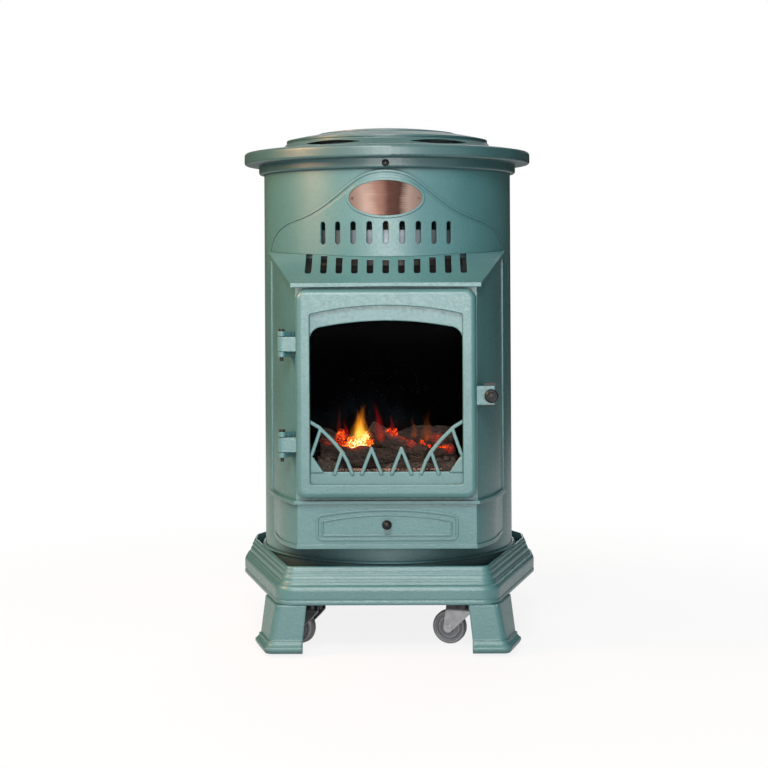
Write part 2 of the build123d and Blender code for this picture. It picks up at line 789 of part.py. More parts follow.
def canopy_volume(outset=0.0, drop=0.0):
    """The hipped volume under the canopy's outer face."""
    lip_half, lip_front = canopy_lip_half + outset, canopy_lip_front + outset
    side_x, side_front = canopy_side_x + outset, canopy_side_front
    lip_top = lip_bottom + canopy_lip_height - drop
    seam, side = seam_z - drop, seam_side_z - drop
    seam_front = canopy_seam_front + outset
    tail = 2.0
    tail_z = side + tail * (side - seam) / (seam_front - side_front)
    low = outline([(-side_x, side_front - tail), (-lip_half, lip_front), (lip_half, lip_front),
                   (side_x, side_front - tail)])
    high = face_of(
        Line((-side_x, -side_front + tail, tail_z), (-side_x, -side_front, side)),
        ThreePointArc((-side_x, -side_front, side), (0, -seam_front, seam), (side_x, -side_front, side)),
        Line((side_x, -side_front, side), (side_x, -side_front + tail, tail_z)),
        Line((side_x, -side_front + tail, tail_z), (-side_x, -side_front + tail, tail_z)),
    )
    upper = loft([Pos(0, 0, lip_top) * low, high], ruled=True)
    return upper + extrude(Pos(0, 0, lip_top) * low, canopy_lip_height + drop, dir=(0, 0, -1))


def make_canopy():
    """Hipped canopy with its row of vent slots."""
    canopy = canopy_volume() - canopy_volume(outset=1.0, drop=canopy_lip_height)
    canopy -= canopy_inner_edge()
    middle = (canopy_slot_count - 1) / 2
    for index in range(canopy_slot_count):
        place = (index - middle) / middle
        low = lip_bottom + canopy_slot_bottom
        high = lip_bottom + canopy_slot_top + canopy_slot_top_gain * place ** 2
        x = (index - middle) * canopy_slot_pitch
        half = canopy_slot_width / 2
        slot = Pos(x, (low + high) / 2) * Rectangle(canopy_slot_width, high - low)
        bottom = slot.vertices().group_by(Axis.Y)[0]
        slot = fillet(bottom, half * 0.55)
        canopy -= elevation(slot, 150, 260)
    return trim_to_drum(canopy)


def canopy_inner_edge():
    """Space behind the lip, so that the lip stays one wall thick."""
    inner = canopy_lip_height * 0.7
    return block(-canopy_lip_half + inner, canopy_lip_half - inner, 100, canopy_lip_front - inner,
                 lip_bottom - 1, lip_bottom + canopy_lip_height * 0.4)


def cheek_point(distance, stand_off, side=1):
    """A plan point on the bay's bowed cheek, from its front corner backwards."""
    start, end = (bay_half, bay_front), (bay_cheek_x, bay_cheek_front)
    normal, out = plan_line(start, end)
    chord = hypot(end[0] - start[0], start[1] - end[1])
    radius = chord ** 2 / (8 * cheek_bow) + cheek_bow / 2
    turn = distance / radius - asin(chord / (2 * radius))
    across = (radius + stand_off) * cos(turn) - (radius - cheek_bow)
    along = (radius + stand_off) * sin(turn) + chord / 2
    x = start[0] + normal[0] * across + normal[1] * along
    front = start[1] + normal[1] * across - normal[0] * along
    return side * x, front


def make_bay():
    """Casting round the fire: front plate, two cheeks and a bead at each joint with the drum."""
    wall = bay_wall
    plan = tapered_plan(bay_half, bay_front, bay_cheek_x, bay_cheek_front, bay_cheek_x - 9, bay_cheek_front - 26)
    inner = tapered_plan(bay_half - wall * 0.7, bay_front - wall, bay_cheek_x - wall, bay_cheek_front - wall * 0.4,
                         bay_cheek_x - wall - 9, bay_cheek_front - 32)
    top = seam_side_z + 5
    bay = prism(plan, bay_bottom, top) - prism(inner, bay_bottom - 1, top + 1)
    x, front = bay_cheek_x, bay_cheek_front
    bead = [(x - 1.3, front + bay_bead_width), (x + bay_bead_proud - 0.6, front + bay_bead_width + 0.6),
            (x + bay_bead_proud, front + bay_bead_width - 1), (x + bay_bead_proud, front),
            (x + bay_bead_proud - 2.5, front - bay_bead_width), (x - 5, front - bay_bead_width)]
    bay += both_sides(prism(bead, bay_bottom, top))
    under = canopy_volume(drop=canopy_lip_height + seat_gap)
    above = block(-250, 250, 60, 260, lip_bottom - seat_gap, top + 2) - under
    bay -= above
    low = bay_bottom + bay_mouth_bottom
    bay -= block(-bay_mouth_half, bay_mouth_half, bay_front - 2 * wall, bay_front + 1, low, low + bay_mouth_height)
    return trim_to_drum(bay) + make_ledge()


# ---------------------------------------------------------------- upper front panel
ogee_points = [
    (0.0, 124.3), (34.0, 117.6), (68.0, 94.5), (102.0, 71.8), (136.0, 58.0), (170.0, 49.5),
    (198.0, 37.0), (217.0, 18.5), (224.0, 3.0),
]


def ogee_face(inset):
    """The ogee outline, drawn round the drum and seen from the front."""
    radius = drum_radius + ogee_thickness
    run = [(-s, rise) for s, rise in reversed(ogee_points[1:])] + ogee_points
    shifted = []
    for index, (s, rise) in enumerate(run):
        before = run[max(index - 1, 0)]
        after = run[min(index + 1, len(run) - 1)]
        ds, dz = after[0] - before[0], after[1] - before[1]
        length = hypot(ds, dz)
        s, rise = s + dz / length * inset, rise - ds / length * inset
        shifted.append((radius * sin(s / radius), seam_z + rise * ogee_height / ogee_points[0][1]))
    first, last = shifted[0], shifted[-1]
    low = seam_z - 12
    return face_of(Spline(*shifted), Polyline(last, (last[0], low), (first[0], low), first))


def make_upper_panel():
    """Raised ogee panel with its border, the badge's rim and the upper vents."""
    inner = drum_radius + seat_gap
    base = inner + ogee_thickness
    field = base + ogee_field
    low, high = seam_z - 12, seam_z + ogee_height + 10
    panel = shell(inner, base, low, high, -75, 75) & elevation(ogee_face(0.0), 20, 260)
    panel += shell(base - 0.5, field, low, high, -75, 75) & elevation(ogee_face(ogee_border), 20, 260)
    groove = ogee_face(ogee_border * 0.42) - ogee_face(ogee_border * 0.62)
    panel -= shell(base - 1.0, field, low, high, -75, 75) & elevation(groove, 20, 260)
    rim = Ellipse(badge_half_width + badge_rim, badge_half_height + badge_rim)
    rim -= Ellipse(badge_half_width + seat_gap, badge_half_height + seat_gap)
    badge_z = seam_z + badge_rise
    panel += shell(field - 0.5, field + badge_rim_proud, low, high + 9, -40, 40) & elevation(
        Pos(0, badge_z) * rim, 100, 260)
    panel -= canopy_volume(outset=seat_gap, drop=-seat_gap)
    middle = (vent_count - 1) / 2
    for index in range(vent_count):
        z = seam_z + vent_rise + vent_height / 2
        slot = elevation(Pos(0, z) * obround(vent_width, vent_height), 150, 260)
        panel -= Rot(0, 0, (index - middle) * vent_pitch) * slot
    for x in (-badge_rivet_x, badge_rivet_x):
        panel -= forward_rod(x, badge_z, badge_rivet_radius * 0.7 + pin_clearance, 150, 260)
    return panel


def badge_skin():
    """Radius of the face that the badge lies on."""
    return drum_radius + seat_gap + ogee_thickness + ogee_field


def make_badge():
    """Plain oval plate, curved to the panel."""
    z = seam_z + badge_rise
    face = Pos(0, z) * Ellipse(badge_half_width, badge_half_height)
    radius = badge_skin()
    plate = shell(radius, radius + badge_thickness, z - 60, z + 60, -40, 40) & elevation(face, 100, 260)
    for x in (-badge_rivet_x, badge_rivet_x):
        plate -= forward_rod(x, z, badge_rivet_radius * 0.7 + pin_clearance, 150, 260)
    return plate


def make_badge_rivets():
    """Two round-headed rivets through the badge and the panel."""
    z = seam_z + badge_rise
    rivets = Part()
    for x in (-badge_rivet_x, badge_rivet_x):
        face = sqrt((badge_skin() + badge_thickness) ** 2 - x ** 2)
        back = sqrt((drum_radius + seat_gap) ** 2 - x ** 2) + 0.8
        seat = face + badge_rivet_radius * abs(x) / badge_skin() + seat_gap
        head = Pos(x, -seat, z) * Sphere(badge_rivet_radius)
        head &= block(-90, 90, seat, seat + badge_rivet_proud, z - 9, z + 9)
        rivets += head + forward_rod(x, z, badge_rivet_radius * 0.7, back, seat + 0.2)
    return rivets


def make_heat_guard():
    """Curved guard behind the upper vents, with flanges that reach the drum."""
    low = seam_z - guard_drop
    guard = shell(guard_radius, guard_radius + guard_wall, low, low + guard_height,
                  -guard_half_angle, guard_half_angle)
    reach = drum_radius - drum_wall - seat_gap
    for side in (-1, 1):
        flange = block(-guard_wall / 2, guard_wall / 2, guard_radius, reach - 0.4, low, low + guard_height)
        guard += Rot(0, 0, side * guard_half_angle) * flange
    return guard


# ---------------------------------------------------------------- top
def rounded(points):
    """A closed outline of (r, z, corner radius) points."""
    face = Polygon(*[(r, z) for r, z, corner in points], align=None)
    for r, z, corner in points:
        if corner:
            vertex = face.vertices().sort_by_distance((r, z))[0]
            face = fillet([vertex], corner)
    return face


def screw_angles():
    return [index * 360 / top_screw_count for index in range(top_screw_count)]


def screw_z():
    return (collar_bottom + brim_bottom) / 2


def make_top_casting():
    """Top plate with its brim and the collar that fits over the drum."""
    brim, collar = top_radius, top_collar_radius
    inner = drum_radius + body_gap
    profile = rounded([
        (top_mouth_radius, top_surface, 1.5), (brim - 14, top_surface, 0), (brim, top_surface - 2.2, 5.0),
        (brim, brim_bottom, 4.0), (collar, brim_bottom, 0), (collar, collar_bottom, 3.5),
        (inner, collar_bottom, 0), (inner, top_bottom, 0), (inner - 6, top_bottom, 0),
        (inner - 6, top_surface - top_plate, 2.0), (top_mouth_radius, top_surface - top_plate, 0),
    ])
    top = revolve(Plane.XZ * profile, axis=Axis.Z)
    for angle in screw_angles():
        top -= Rot(0, 0, angle) * forward_rod(0, screw_z(), top_screw_shank + pin_clearance, 150, 260)
    return top


def make_top_screws():
    """Round-headed cross-slot screws through the collar."""
    screws = Part()
    collar = top_collar_radius
    for angle in screw_angles():
        dome = top_screw_head
        radius = (top_screw_radius ** 2 + dome ** 2) / (2 * dome)
        head = Pos(0, -(collar + dome - radius), screw_z()) * Sphere(radius)
        head &= block(-90, 90, collar, collar + dome + 1, screw_z() - 9, screw_z() + 9)
        for width, height in ((1.3, 5.6), (5.6, 1.3)):
            head -= block(-width / 2, width / 2, collar + dome * 0.45, collar + dome + 1,
                          screw_z() - height / 2, screw_z() + height / 2)
        screw = head + forward_rod(0, screw_z(), top_screw_shank, collar - top_screw_length, collar + 0.3)
        screws += Rot(0, 0, angle) * screw
    return screws


def make_vent_ring():
    """Conical ring under the lid, pierced with long lens-shaped openings."""
    wall = ring_wall
    ring = turned([
        (ring_foot_radius, top_surface), (ring_foot_radius, top_surface + 1.5), (ring_head_radius, ring_top - 1.5),
        (ring_head_radius, ring_top), (ring_head_radius - wall - 1, ring_top),
        (ring_head_radius - wall - 1, ring_top - 2.5), (ring_foot_radius - wall - 3, top_surface + 2.5),
        (ring_foot_radius - wall - 3, top_surface),
    ])
    half, rise = ring_slot_half, ring_slot_height / 2
    lens = face_of(ThreePointArc((-half, 0), (0, rise), (half, 0)), ThreePointArc((half, 0), (0, -rise), (-half, 0)))
    for index in range(ring_slot_count):
        tool = elevation(Pos(0, top_surface + ring_height / 2 + 0.4) * lens, 120, 200)
        ring -= Rot(0, 0, (index + 0.5) * 360 / ring_slot_count) * tool
    return ring


def make_lid():
    """Domed lid with a raised middle and a boss for its bolt."""
    low = ring_top
    shoulder = low + lid_edge
    apex = shoulder + lid_crown

    def dome_z(r):
        return shoulder + lid_crown * (1 - (r / lid_radius) ** 2)

    def dome_arc(r0, r1, shift):
        middle = (r0 + r1) / 2
        return ThreePointArc((r0, dome_z(r0) + shift), (middle, dome_z(middle) + shift), (r1, dome_z(r1) + shift))

    inner = lid_radius - 5
    skin = face_of(
        dome_arc(0, lid_radius, -lid_step), Polyline((lid_radius, shoulder - lid_step), (lid_radius, low + 1),
                                                     (lid_radius - 1, low), (inner, low), (inner, shoulder - 4)),
        ThreePointArc((inner, shoulder - 4), (inner / 2, dome_z(inner / 2) - lid_wall - 2),
                      (0, apex - lid_wall - lid_step)),
        Line((0, apex - lid_wall - lid_step), (0, apex - lid_step)),
    )
    lid = revolve(Plane.XZ * skin, axis=Axis.Z)
    step = face_of(dome_arc(0, lid_step_radius, 0.0),
                   Polyline((lid_step_radius, dome_z(lid_step_radius)),
                            (lid_step_radius, dome_z(lid_step_radius) - 3), (0, dome_z(lid_step_radius) - 3),
                            (0, apex)))
    lid += revolve(Plane.XZ * step, axis=Axis.Z) & turned([(0, low + 8), (lid_radius, low + 8),
                                                           (lid_radius, apex + 5), (0, apex + 5)])
    lid += post(0, 0, lid_bolt_radius * 2.2, low + 4, apex - lid_wall)
    return lid - post(0, 0, lid_bolt_radius + pin_clearance, low, apex - lid_wall - 2)


def bridge_top():
    return top_surface - top_plate


def make_lid_bridge():
    """Flat bar under the top plate that the lid's bolt pulls against."""
    reach = drum_radius - 9
    bar = block(-reach, reach, -lid_bridge_width / 2, lid_bridge_width / 2, bridge_top() - 3, bridge_top())
    bar &= post(0, 0, reach, bridge_top() - 3, bridge_top())
    return bar - post(0, 0, lid_bolt_radius + pin_clearance, bridge_top() - 4, bridge_top() + 1)


def make_lid_bolt():
    """Bolt up through the bridge into the lid's boss."""
    under = bridge_top() - 3
    head = extrude(Pos(0, 0, under) * RegularPolygon(lid_bolt_radius * 1.7, 6), 5, dir=(0, 0, -1))
    return head + post(0, 0, lid_bolt_radius, under, ring_top + 12)


# ---------------------------------------------------------------- door
def recess_face(grow=0.0, corner=3.0):
    """The arched recess in the door, seen from the front."""
    return arched_panel(recess_half + grow, door_bottom + recess_bottom - grow, door_bottom + recess_side + grow,
                        door_bottom + recess_apex + grow, corner)


def lug_plan(side, end_x, bore_x, radius):
    """Plan of a lug on the door's edge, rounded about its pin."""
    return [(side * (door_half - 1), door_back), (side * (door_half - 1), hinge_lug_front),
            (side * end_x, hinge_lug_front), (side * end_x, door_back)]


def lug_levels():
    """Foot of each hinge lug."""
    return [door_bottom + hinge_lug_low, door_bottom + hinge_lug_high]


def make_door_frame():
    """Cast door frame with its hinge lugs and the latch lug."""
    outer = Pos(0, door_bottom + door_height / 2) * RectangleRounded(2 * door_half, door_height, door_corner)
    frame = elevation(outer - recess_face(), door_back, door_front)
    front = frame.faces().sort_by(Axis.Y)[0]
    frame = fillet(front.outer_wire().edges(), door_edge)
    front = frame.faces().sort_by(Axis.Y)[0]
    frame = fillet(front.inner_wires()[0].edges(), 1.2)
    frame -= elevation(recess_face(rebate), door_back - 1, insert_front)
    for low in lug_levels():
        high = low + hinge_lug_height
        lug = block(-hinge_x, -door_half + 1, door_back, hinge_lug_front, low, high)
        lug += post(-hinge_x, hinge_front, hinge_lug_radius, low, high)
        frame += lug - post(-hinge_x, hinge_front, hinge_pin_radius + pin_clearance, low, high)
    low = door_bottom + latch_lug_bottom
    high = low + latch_height
    lug = block(door_half - 1, latch_lug_end, door_back, hinge_lug_front, low, high)
    upright = lug.edges().filter_by(Axis.Z).sort_by(Axis.X)[-2:]
    lug = fillet(upright, 1.5)
    lug -= forward_rod(latch_x, latch_z, latch_shaft_radius + pin_clearance, 180, 260)
    return frame + lug


def arch_opening():
    """The opening in the insert that the fire is seen through."""
    z = door_bottom
    half = recess_half
    spring, shoulder, apex = z + arch_spring, z + arch_shoulder, z + arch_apex
    middle = (half * 0.7 + arch_shoulder_x * 0.3, z + arch_spring * 0.33 + arch_shoulder * 0.67)
    return face_of(
        Polyline((-half, spring), (-half, z + insert_bar_top), (half, z + insert_bar_top), (half, spring)),
        ThreePointArc((half, spring), middle, (arch_shoulder_x, shoulder)),
        ThreePointArc((arch_shoulder_x, shoulder), (0, apex), (-arch_shoulder_x, shoulder)),
        ThreePointArc((-arch_shoulder_x, shoulder), (-middle[0], middle[1]), (-half, spring)),
    )


def bar_along(*points):
    """A round-ended bar drawn in (x, height above the insert's bar)."""
    z = door_bottom + insert_bar_top
    face = Sketch()
    for (x0, z0), (x1, z1) in zip(points, points[1:]):
        length = hypot(x1 - x0, z1 - z0)
        turn = Rot(0, 0, degrees(atan2(z1 - z0, x1 - x0)))
        face += Pos((x0 + x1) / 2, z + (z0 + z1) / 2) * turn * SlotCenterToCenter(length, bar_width)
    return face


def grate_bars():
    """Two pointed bars in the middle and a leaf of bars in each corner."""
    foot = -bar_width / 2
    half = Sketch()
    apex_x, apex_z, spread = 21.4, 33.0, 13.9
    half += bar_along((apex_x - spread, foot), (apex_x, apex_z), (apex_x + spread, foot))
    half += bar_along((49.0, foot), (55.5, 14.0), (62.0, 26.4), (77.3, 45.0), (96.0, 63.6), (110.0, 72.0))
    half += bar_along((94.5, 60.0), (106.5, 25.3), (109.5, 23.0))
    half += bar_along((64.5, 26.0), (74.2, foot))
    base = door_bottom + insert_bar_top
    half += Polygon((109.6, base + 25.2), (103.6, base + 19.5), (89.7, base - 1), (109.6, base - 1), align=None)
    return half + mirror(half, Plane.YZ)


def make_door_insert():
    """Arched insert and grate in one casting, let into the door from behind."""
    plate = recess_face(rebate - seat_gap) - arch_opening()
    insert = elevation(plate, insert_back, insert_front)
    bars = grate_bars() & recess_face(-seat_gap)
    return insert + elevation(bars, insert_back, insert_front + bar_proud)


def make_door_glass():
    return elevation(recess_face(rebate - 3 * seat_gap), glass_back, insert_back)


def make_glass_clips():
    """Four clips behind the door, with their screws."""
    clips = Part()
    for side in (-1, 1):
        for rise in (clip_z_low, clip_z_high):
            middle = side * (recess_half + rebate + clip_length / 2 - clip_lap)
            z = door_bottom + rise
            x0, x1 = middle - clip_length / 2, middle + clip_length / 2
            clips += block(x0, x1, glass_back - clip_thickness, glass_back, z - clip_width / 2, z + clip_width / 2)
    return clips


def make_door_seal():
    """Rope seal round the door's back face."""
    outer, inner = door_half - 2, door_half - 7
    face = Pos(0, door_bottom + door_height / 2) * RectangleRounded(2 * outer, door_height - 4, door_corner - 2)
    face -= Pos(0, door_bottom + door_height / 2) * RectangleRounded(2 * inner, door_height - 14, door_corner - 7)
    return elevation(face, bay_front + body_gap, door_back)


def bracket_plan(side):
    """Plan of the arm that carries a hinge knuckle off the cheek."""
    normal, out = plan_line((bay_half, bay_front), (bay_cheek_x, bay_cheek_front))
    along = (normal[1], -normal[0])
    reach = hinge_knuckle_radius * 0.9
    near = (side * (hinge_x - along[0] * reach), hinge_front - along[1] * reach)
    far = (side * (hinge_x + along[0] * reach), hinge_front + along[1] * reach)
    return [near, far, cheek_point(2 + hinge_plate_width * 0.8, 0.5, side), cheek_point(3, 0.5, side)]


def make_hinge_brackets():
    """Two fixed brackets on the left cheek, each with a knuckle above and below the lug."""
    brackets = Part()
    plate = [cheek_point(2, seat_gap / 2, -1), cheek_point(2, hinge_plate_thickness, -1),
             cheek_point(2 + hinge_plate_width, hinge_plate_thickness, -1),
             cheek_point(2 + hinge_plate_width, seat_gap / 2, -1)]
    for low in lug_levels():
        high = low + hinge_lug_height
        foot, head = low - hinge_gap - hinge_knuckle_height, high + hinge_gap + hinge_knuckle_height
        bracket = prism(plate, foot, head)
        for start in (foot, high + hinge_gap):
            end = start + hinge_knuckle_height
            bracket += prism(bracket_plan(-1), start, end)
            bracket += post(-hinge_x, hinge_front, hinge_knuckle_radius, start, end)
        bracket -= prism(cheek_solid(), foot - 1, head + 1)
        brackets += bracket - post(-hinge_x, hinge_front, hinge_pin_radius + pin_clearance, low - 60, high + 60)
    return brackets


def cheek_solid():
    """Plan of the whole bay, used to keep brackets off its faces."""
    gap = seat_gap / 2
    return tapered_plan(bay_half + gap, bay_front + gap, bay_cheek_x + gap, bay_cheek_front,
                        bay_cheek_x, bay_cheek_front - bay_wall)


def make_hinge_pins():
    pins = Part()
    for low in lug_levels():
        high = low + hinge_lug_height + hinge_gap + hinge_knuckle_height
        foot = low - hinge_gap - hinge_knuckle_height - hinge_pin_tail
        pin = post(-hinge_x, hinge_front, hinge_pin_radius, foot, high)
        pins += pin + post(-hinge_x, hinge_front, hinge_pin_head, high, high + hinge_pin_head_height)
    return pins


def make_latch_knob():
    """Round knob on its shaft, with a ring and a centre button."""
    start, end = hinge_lug_front + body_gap, hinge_lug_front + latch_knob_length
    r = latch_knob_radius
    profile = rounded([
        (0, start, 0), (r * 0.62, start, 0), (r * 0.62, start + 3, 0), (r, start + 5, 1.2), (r, end - 2, 1.6),
        (r * 0.78, end, 0.8), (r * 0.62, end, 0.4), (r * 0.55, end - 1.4, 0.3), (r * 0.38, end - 1.4, 0),
        (r * 0.38, end - 0.5, 0.4), (0, end - 0.3, 0),
    ])
    knob = revolve(Plane.XZ * profile, axis=Axis.Z)
    knob = Pos(latch_x, 0, latch_z) * Rot(90, 0, 0) * knob
    return knob + forward_rod(latch_x, latch_z, latch_shaft_radius, cam_front - latch_cam_thickness, start + 1)


def make_latch_cam():
    """Short cam on the end of the latch shaft; it points down when the latch is free."""
    half = latch_cam_width / 2
    back = cam_front - latch_cam_thickness
    cam = forward_rod(latch_x, latch_z, half + 2.4, back, cam_front)
    cam += block(latch_x - half, latch_x + half, back, cam_front, latch_z - latch_cam_length, latch_z)
    return cam - forward_rod(latch_x, latch_z, latch_shaft_radius + pin_clearance, back - 1, cam_front + 1)


def make_latch_keeper():
    """Angle on the right cheek that the cam hooks behind, with two ears the cam comes out between."""
    low, high = latch_z - keeper_height / 2, latch_z + keeper_height / 2
    gap = seat_gap / 2
    plate = [cheek_point(1, gap), cheek_point(1, keeper_thickness),
             cheek_point(1 + keeper_plate_length, keeper_thickness), cheek_point(1 + keeper_plate_length, gap)]
    back = cam_front + keeper_gap
    front = back + keeper_thickness
    keeper = prism(plate, low, high) + block(bay_half - 5, keeper_reach, back, front, low, high)
    keeper += block(keeper_reach - keeper_web, keeper_ear_end, back, front,
                    latch_z - keeper_ear_high, latch_z + keeper_ear_high)
    keeper -= block(keeper_reach, keeper_ear_end + 1, back - 1, front + 1,
                    latch_z - keeper_ear_gap_low, latch_z + keeper_ear_gap_high)
    return keeper - prism(cheek_solid(), low - keeper_ear_high, high + keeper_ear_high)


# ---------------------------------------------------------------- inside
def make_firebox():
    """Sheet box behind the door, open to the front, with a slot in its roof for the hot air."""
    wall = firebox_wall
    top = firebox_bottom + firebox_height
    front = bay_front - bay_wall
    box = block(-firebox_half, firebox_half, firebox_back, front, firebox_bottom, top)
    box -= block(-firebox_half + wall, firebox_half - wall, firebox_back + wall, front + 1, firebox_floor, top - wall)
    slot_back = firebox_back + firebox_slot_back
    box -= block(-firebox_slot_half, firebox_slot_half, slot_back, slot_back + firebox_slot_depth,
                 top - 2 * wall, top + 1)
    return box - post(pipe_x, pipe_front(), pipe_radius + 0.5, firebox_bottom - 1, firebox_floor + 1)


def make_bulkhead():
    """Sheet between the fire and the bottle bay."""
    back = firebox_back - bulkhead_thickness
    sheet = block(-bulkhead_half, bulkhead_half, back, firebox_back, pan_floor, pan_floor + bulkhead_height)
    hole = forward_rod(pipe_x, pipe_low_z() + pipe_radius * 0.6, pipe_radius + pipe_hole_gap, back - 1, firebox_back + 1)
    return sheet - hole


def pipe_front():
    return (burner_front + burner_back) / 2 - 10


def pipe_low_z():
    return bay_bottom - 15


def make_burner():
    """Shallow pan burner with its inlet in the floor and rows of ports."""
    burner = block(-burner_half, burner_half, burner_back, burner_front, firebox_floor, burner_top)
    burner -= block(-burner_half + 2, burner_half - 2, burner_back + 2, burner_front - 2,
                    firebox_floor + 2, burner_top - 2)
    burner -= post(pipe_x, pipe_front(), pipe_radius + 0.2, firebox_floor - 1, firebox_floor + 3)
    for row in (0.3, 0.7):
        front = burner_back + (burner_front - burner_back) * row
        for index in range(9):
            x = (index - 4) * burner_half / 5
            burner -= post(x, front, 2.0, burner_top - 3, burner_top + 1)
    return burner


def make_ember_bed():
    """Ceramic bed that the logs lie on, with a ridge along its back."""
    bed = block(-bed_half, bed_half, bed_back, bed_front, burner_top, bed_top)
    edges = bed.faces().sort_by(Axis.Z)[-1].edges()
    bed = chamfer(edges, bed_height * 0.5)
    ridge = block(-bed_ridge_half, bed_ridge_half, bed_back, bed_back + bed_ridge_depth,
                  burner_top, bed_top + bed_ridge_height)
    edges = ridge.faces().sort_by(Axis.Z)[-1].edges()
    return bed + chamfer(edges, bed_ridge_height * 0.6)


def log_solid(points):
    """A tapering log through (x, front, z, radius) stations."""
    sections = []
    for index, (x, front, z, radius) in enumerate(points):
        before = points[max(index - 1, 0)]
        after = points[min(index + 1, len(points) - 1)]
        along = Vector(after[0] - before[0], before[1] - after[1], after[2] - before[2])
        sections.append(Plane(origin=(x, -front, z), z_dir=along) * Circle(radius))
    return loft(sections, ruled=True)


def make_logs():
    """Four logs, each cut to lie on the bed and against the ones before it."""
    mid, high = bed_top + log_mid, bed_top + log_high
    r = log_radius
    front, back = bed_front, bed_back
    stations = {
        "log_front": [(-97, front - 24, mid, r * 0.8), (-40, front - 14, mid + 1, r * 0.92),
                      (18, front - 17, mid - 1, r * 0.8)],
        "log_right": [(34, front - 13, mid - 4, r * 0.64), (70, front - 20, mid + 2, r * 0.84),
                      (99, front - 30, mid + 6, r * 0.7)],
        "log_back": [(-98, back + 17, high, r * 1.05), (-20, back + 18, high - 2, r * 1.15),
                     (60, back + 18, high + 1, r * 1.15), (98, back + 17, high + 2, r)],
        "log_cross": [(-25, back + 25, high + 22, r * 0.64), (10, back + 39, high + 5, r * 0.76),
                      (56, back + 58, mid + 7, r * 0.68)],
    }
    logs, used = {}, make_ember_bed()
    for name, points in stations.items():
        log = log_solid(points) - used
        log = log.solids().sort_by(SortBy.VOLUME)[-1]
        logs[name] = log
        used += log
    return logs


def make_pilot():
    """Pilot bracket with its jet, electrode and flame sensor."""
    x, front = -bed_half - 1.5, bed_back - 3
    pilot = block(x - 7, x + 7, front - 4, front - 2.5, firebox_floor, bed_top + 20)
    pilot += block(x - 7, x + 7, front - 4, front + 8, bed_top + 18, bed_top + 19.5)
    for shift, radius in ((-4.5, 1.6), (0.0, 2.2), (4.5, 1.6)):
        pilot += post(x + shift, front + 4, radius, bed_top + 6, bed_top + 30)
    return pilot


def make_burner_pipe():
    """Gas pipe from the valve, over the bottle and down behind the bulkhead to the burner."""
    x = pipe_x
    start = (x, -valve_front_face(), valve_z)
    down_y = -(firebox_back - bulkhead_thickness - pipe_radius - 4)
    low = pipe_low_z()
    points = [start, (x, down_y, valve_z), (x, down_y, low), (x, -pipe_front(), low),
              (x, -pipe_front(), firebox_floor + 1.5)]
    path = FilletPolyline(*points, radius=pipe_bend)
    section = Plane(origin=start, z_dir=path % 0) * Circle(pipe_radius)
    return sweep(section, path=path)


def valve_front_face():
    """Front distance of the valve face that the pipe leaves, behind the drum axis."""
    return -(valve_plate_back - valve_plate - valve_depth)


def make_gas_valve():
    """Valve body with its bracket, spindle bore, outlet boss and inlet boss."""
    plate_front = valve_plate_back - valve_plate
    front = plate_front - valve_depth
    half, tall = valve_half, valve_height / 2
    valve = block(-half, half, -plate_front, -front, valve_z - tall, valve_z + tall)
    valve += block(half - 2, pipe_x + pipe_radius + 4, -(front + 26), -front, valve_z - 9, valve_z + 9)
    valve += block(-valve_plate_half, valve_plate_half, -valve_plate_back, -plate_front,
                   valve_z - valve_plate_height / 2, valve_z + valve_plate_height / 2)
    valve += forward_rod(0, valve_z, spindle_radius + 2.2, -(drum_radius - 0.5), -(plate_front - 1))
    valve -= forward_rod(0, valve_z, spindle_radius + pin_clearance, -260, -(front + 8))
    inlet = front + valve_depth * 0.4
    return valve - post(0, -inlet, hose_tail_radius, valve_z - tall - 1, valve_z - tall + 9)


def make_hose_tail():
    """Barbed tail that a gas hose is pushed on to."""
    inlet = -(valve_plate_back - valve_plate - valve_depth * 0.6)
    top = valve_z - valve_height / 2
    low = top - hose_tail_length
    tail = post(0, inlet, hose_tail_radius, low, top + 8.5)
    tail += extrude(Pos(0, -inlet, top - 7) * RegularPolygon(8.0, 6), 7, dir=UP)
    return tail


def make_spindle():
    """Sprung valve spindle that is pushed in to light the pilot."""
    back = drum_radius + knob_gap + knob_length - 5
    return forward_rod(0, valve_z, spindle_radius, -back, -(valve_plate_back - valve_plate - valve_depth + 16))


def make_control_knob():
    """Round control knob with a raised grip across it."""
    inner = drum_radius + knob_gap + spindle_travel
    outer = inner + knob_length - spindle_travel
    r = knob_radius
    profile = rounded([(0, inner, 0), (r, inner, 0.8), (r, inner + 4, 1.0), (r - 2.5, inner + 6, 0.5),
                       (r - 3.5, outer - 3, 1.0), (0, outer - 3, 0)])
    knob = revolve(Plane.XZ * profile, axis=Axis.Z)
    knob += Pos(0, 0, (inner + outer) / 2 + 2) * Box(6.5, 2 * r - 8, outer - inner - 5)
    knob = Pos(0, 0, valve_z) * Rot(-90, 0, 0) * knob
    bore_end = drum_radius + knob_gap + knob_length - 5 + seat_gap
    return knob - forward_rod(0, valve_z, spindle_radius + pin_clearance, -bore_end, -100)


def piezo_turn():
    """Turns a front-pointing piece to the piezo's place at the rear."""
    return Rot(0, 0, 180 + piezo_angle)


def make_piezo():
    """Piezo igniter body with its collar outside the drum."""
    face = drum_radius + seat_gap
    body = forward_rod(0, valve_z, piezo_radius, face - piezo_length, face + 1)
    body += forward_rod(0, valve_z, piezo_flange, face, face + piezo_flange_thickness)
    bore = face + piezo_flange_thickness - button_seat - button_travel - 1
    body -= forward_rod(0, valve_z, button_radius + pin_clearance, bore, face + 20)
    return piezo_turn() * body


def make_piezo_button():
    face = drum_radius + seat_gap + piezo_flange_thickness
    button = forward_rod(0, valve_z, button_radius, face - button_seat, face + button_proud)
    end = button.faces().sort_by(Axis.Y)[0].edges()
    return piezo_turn() * fillet(end, 1.0)


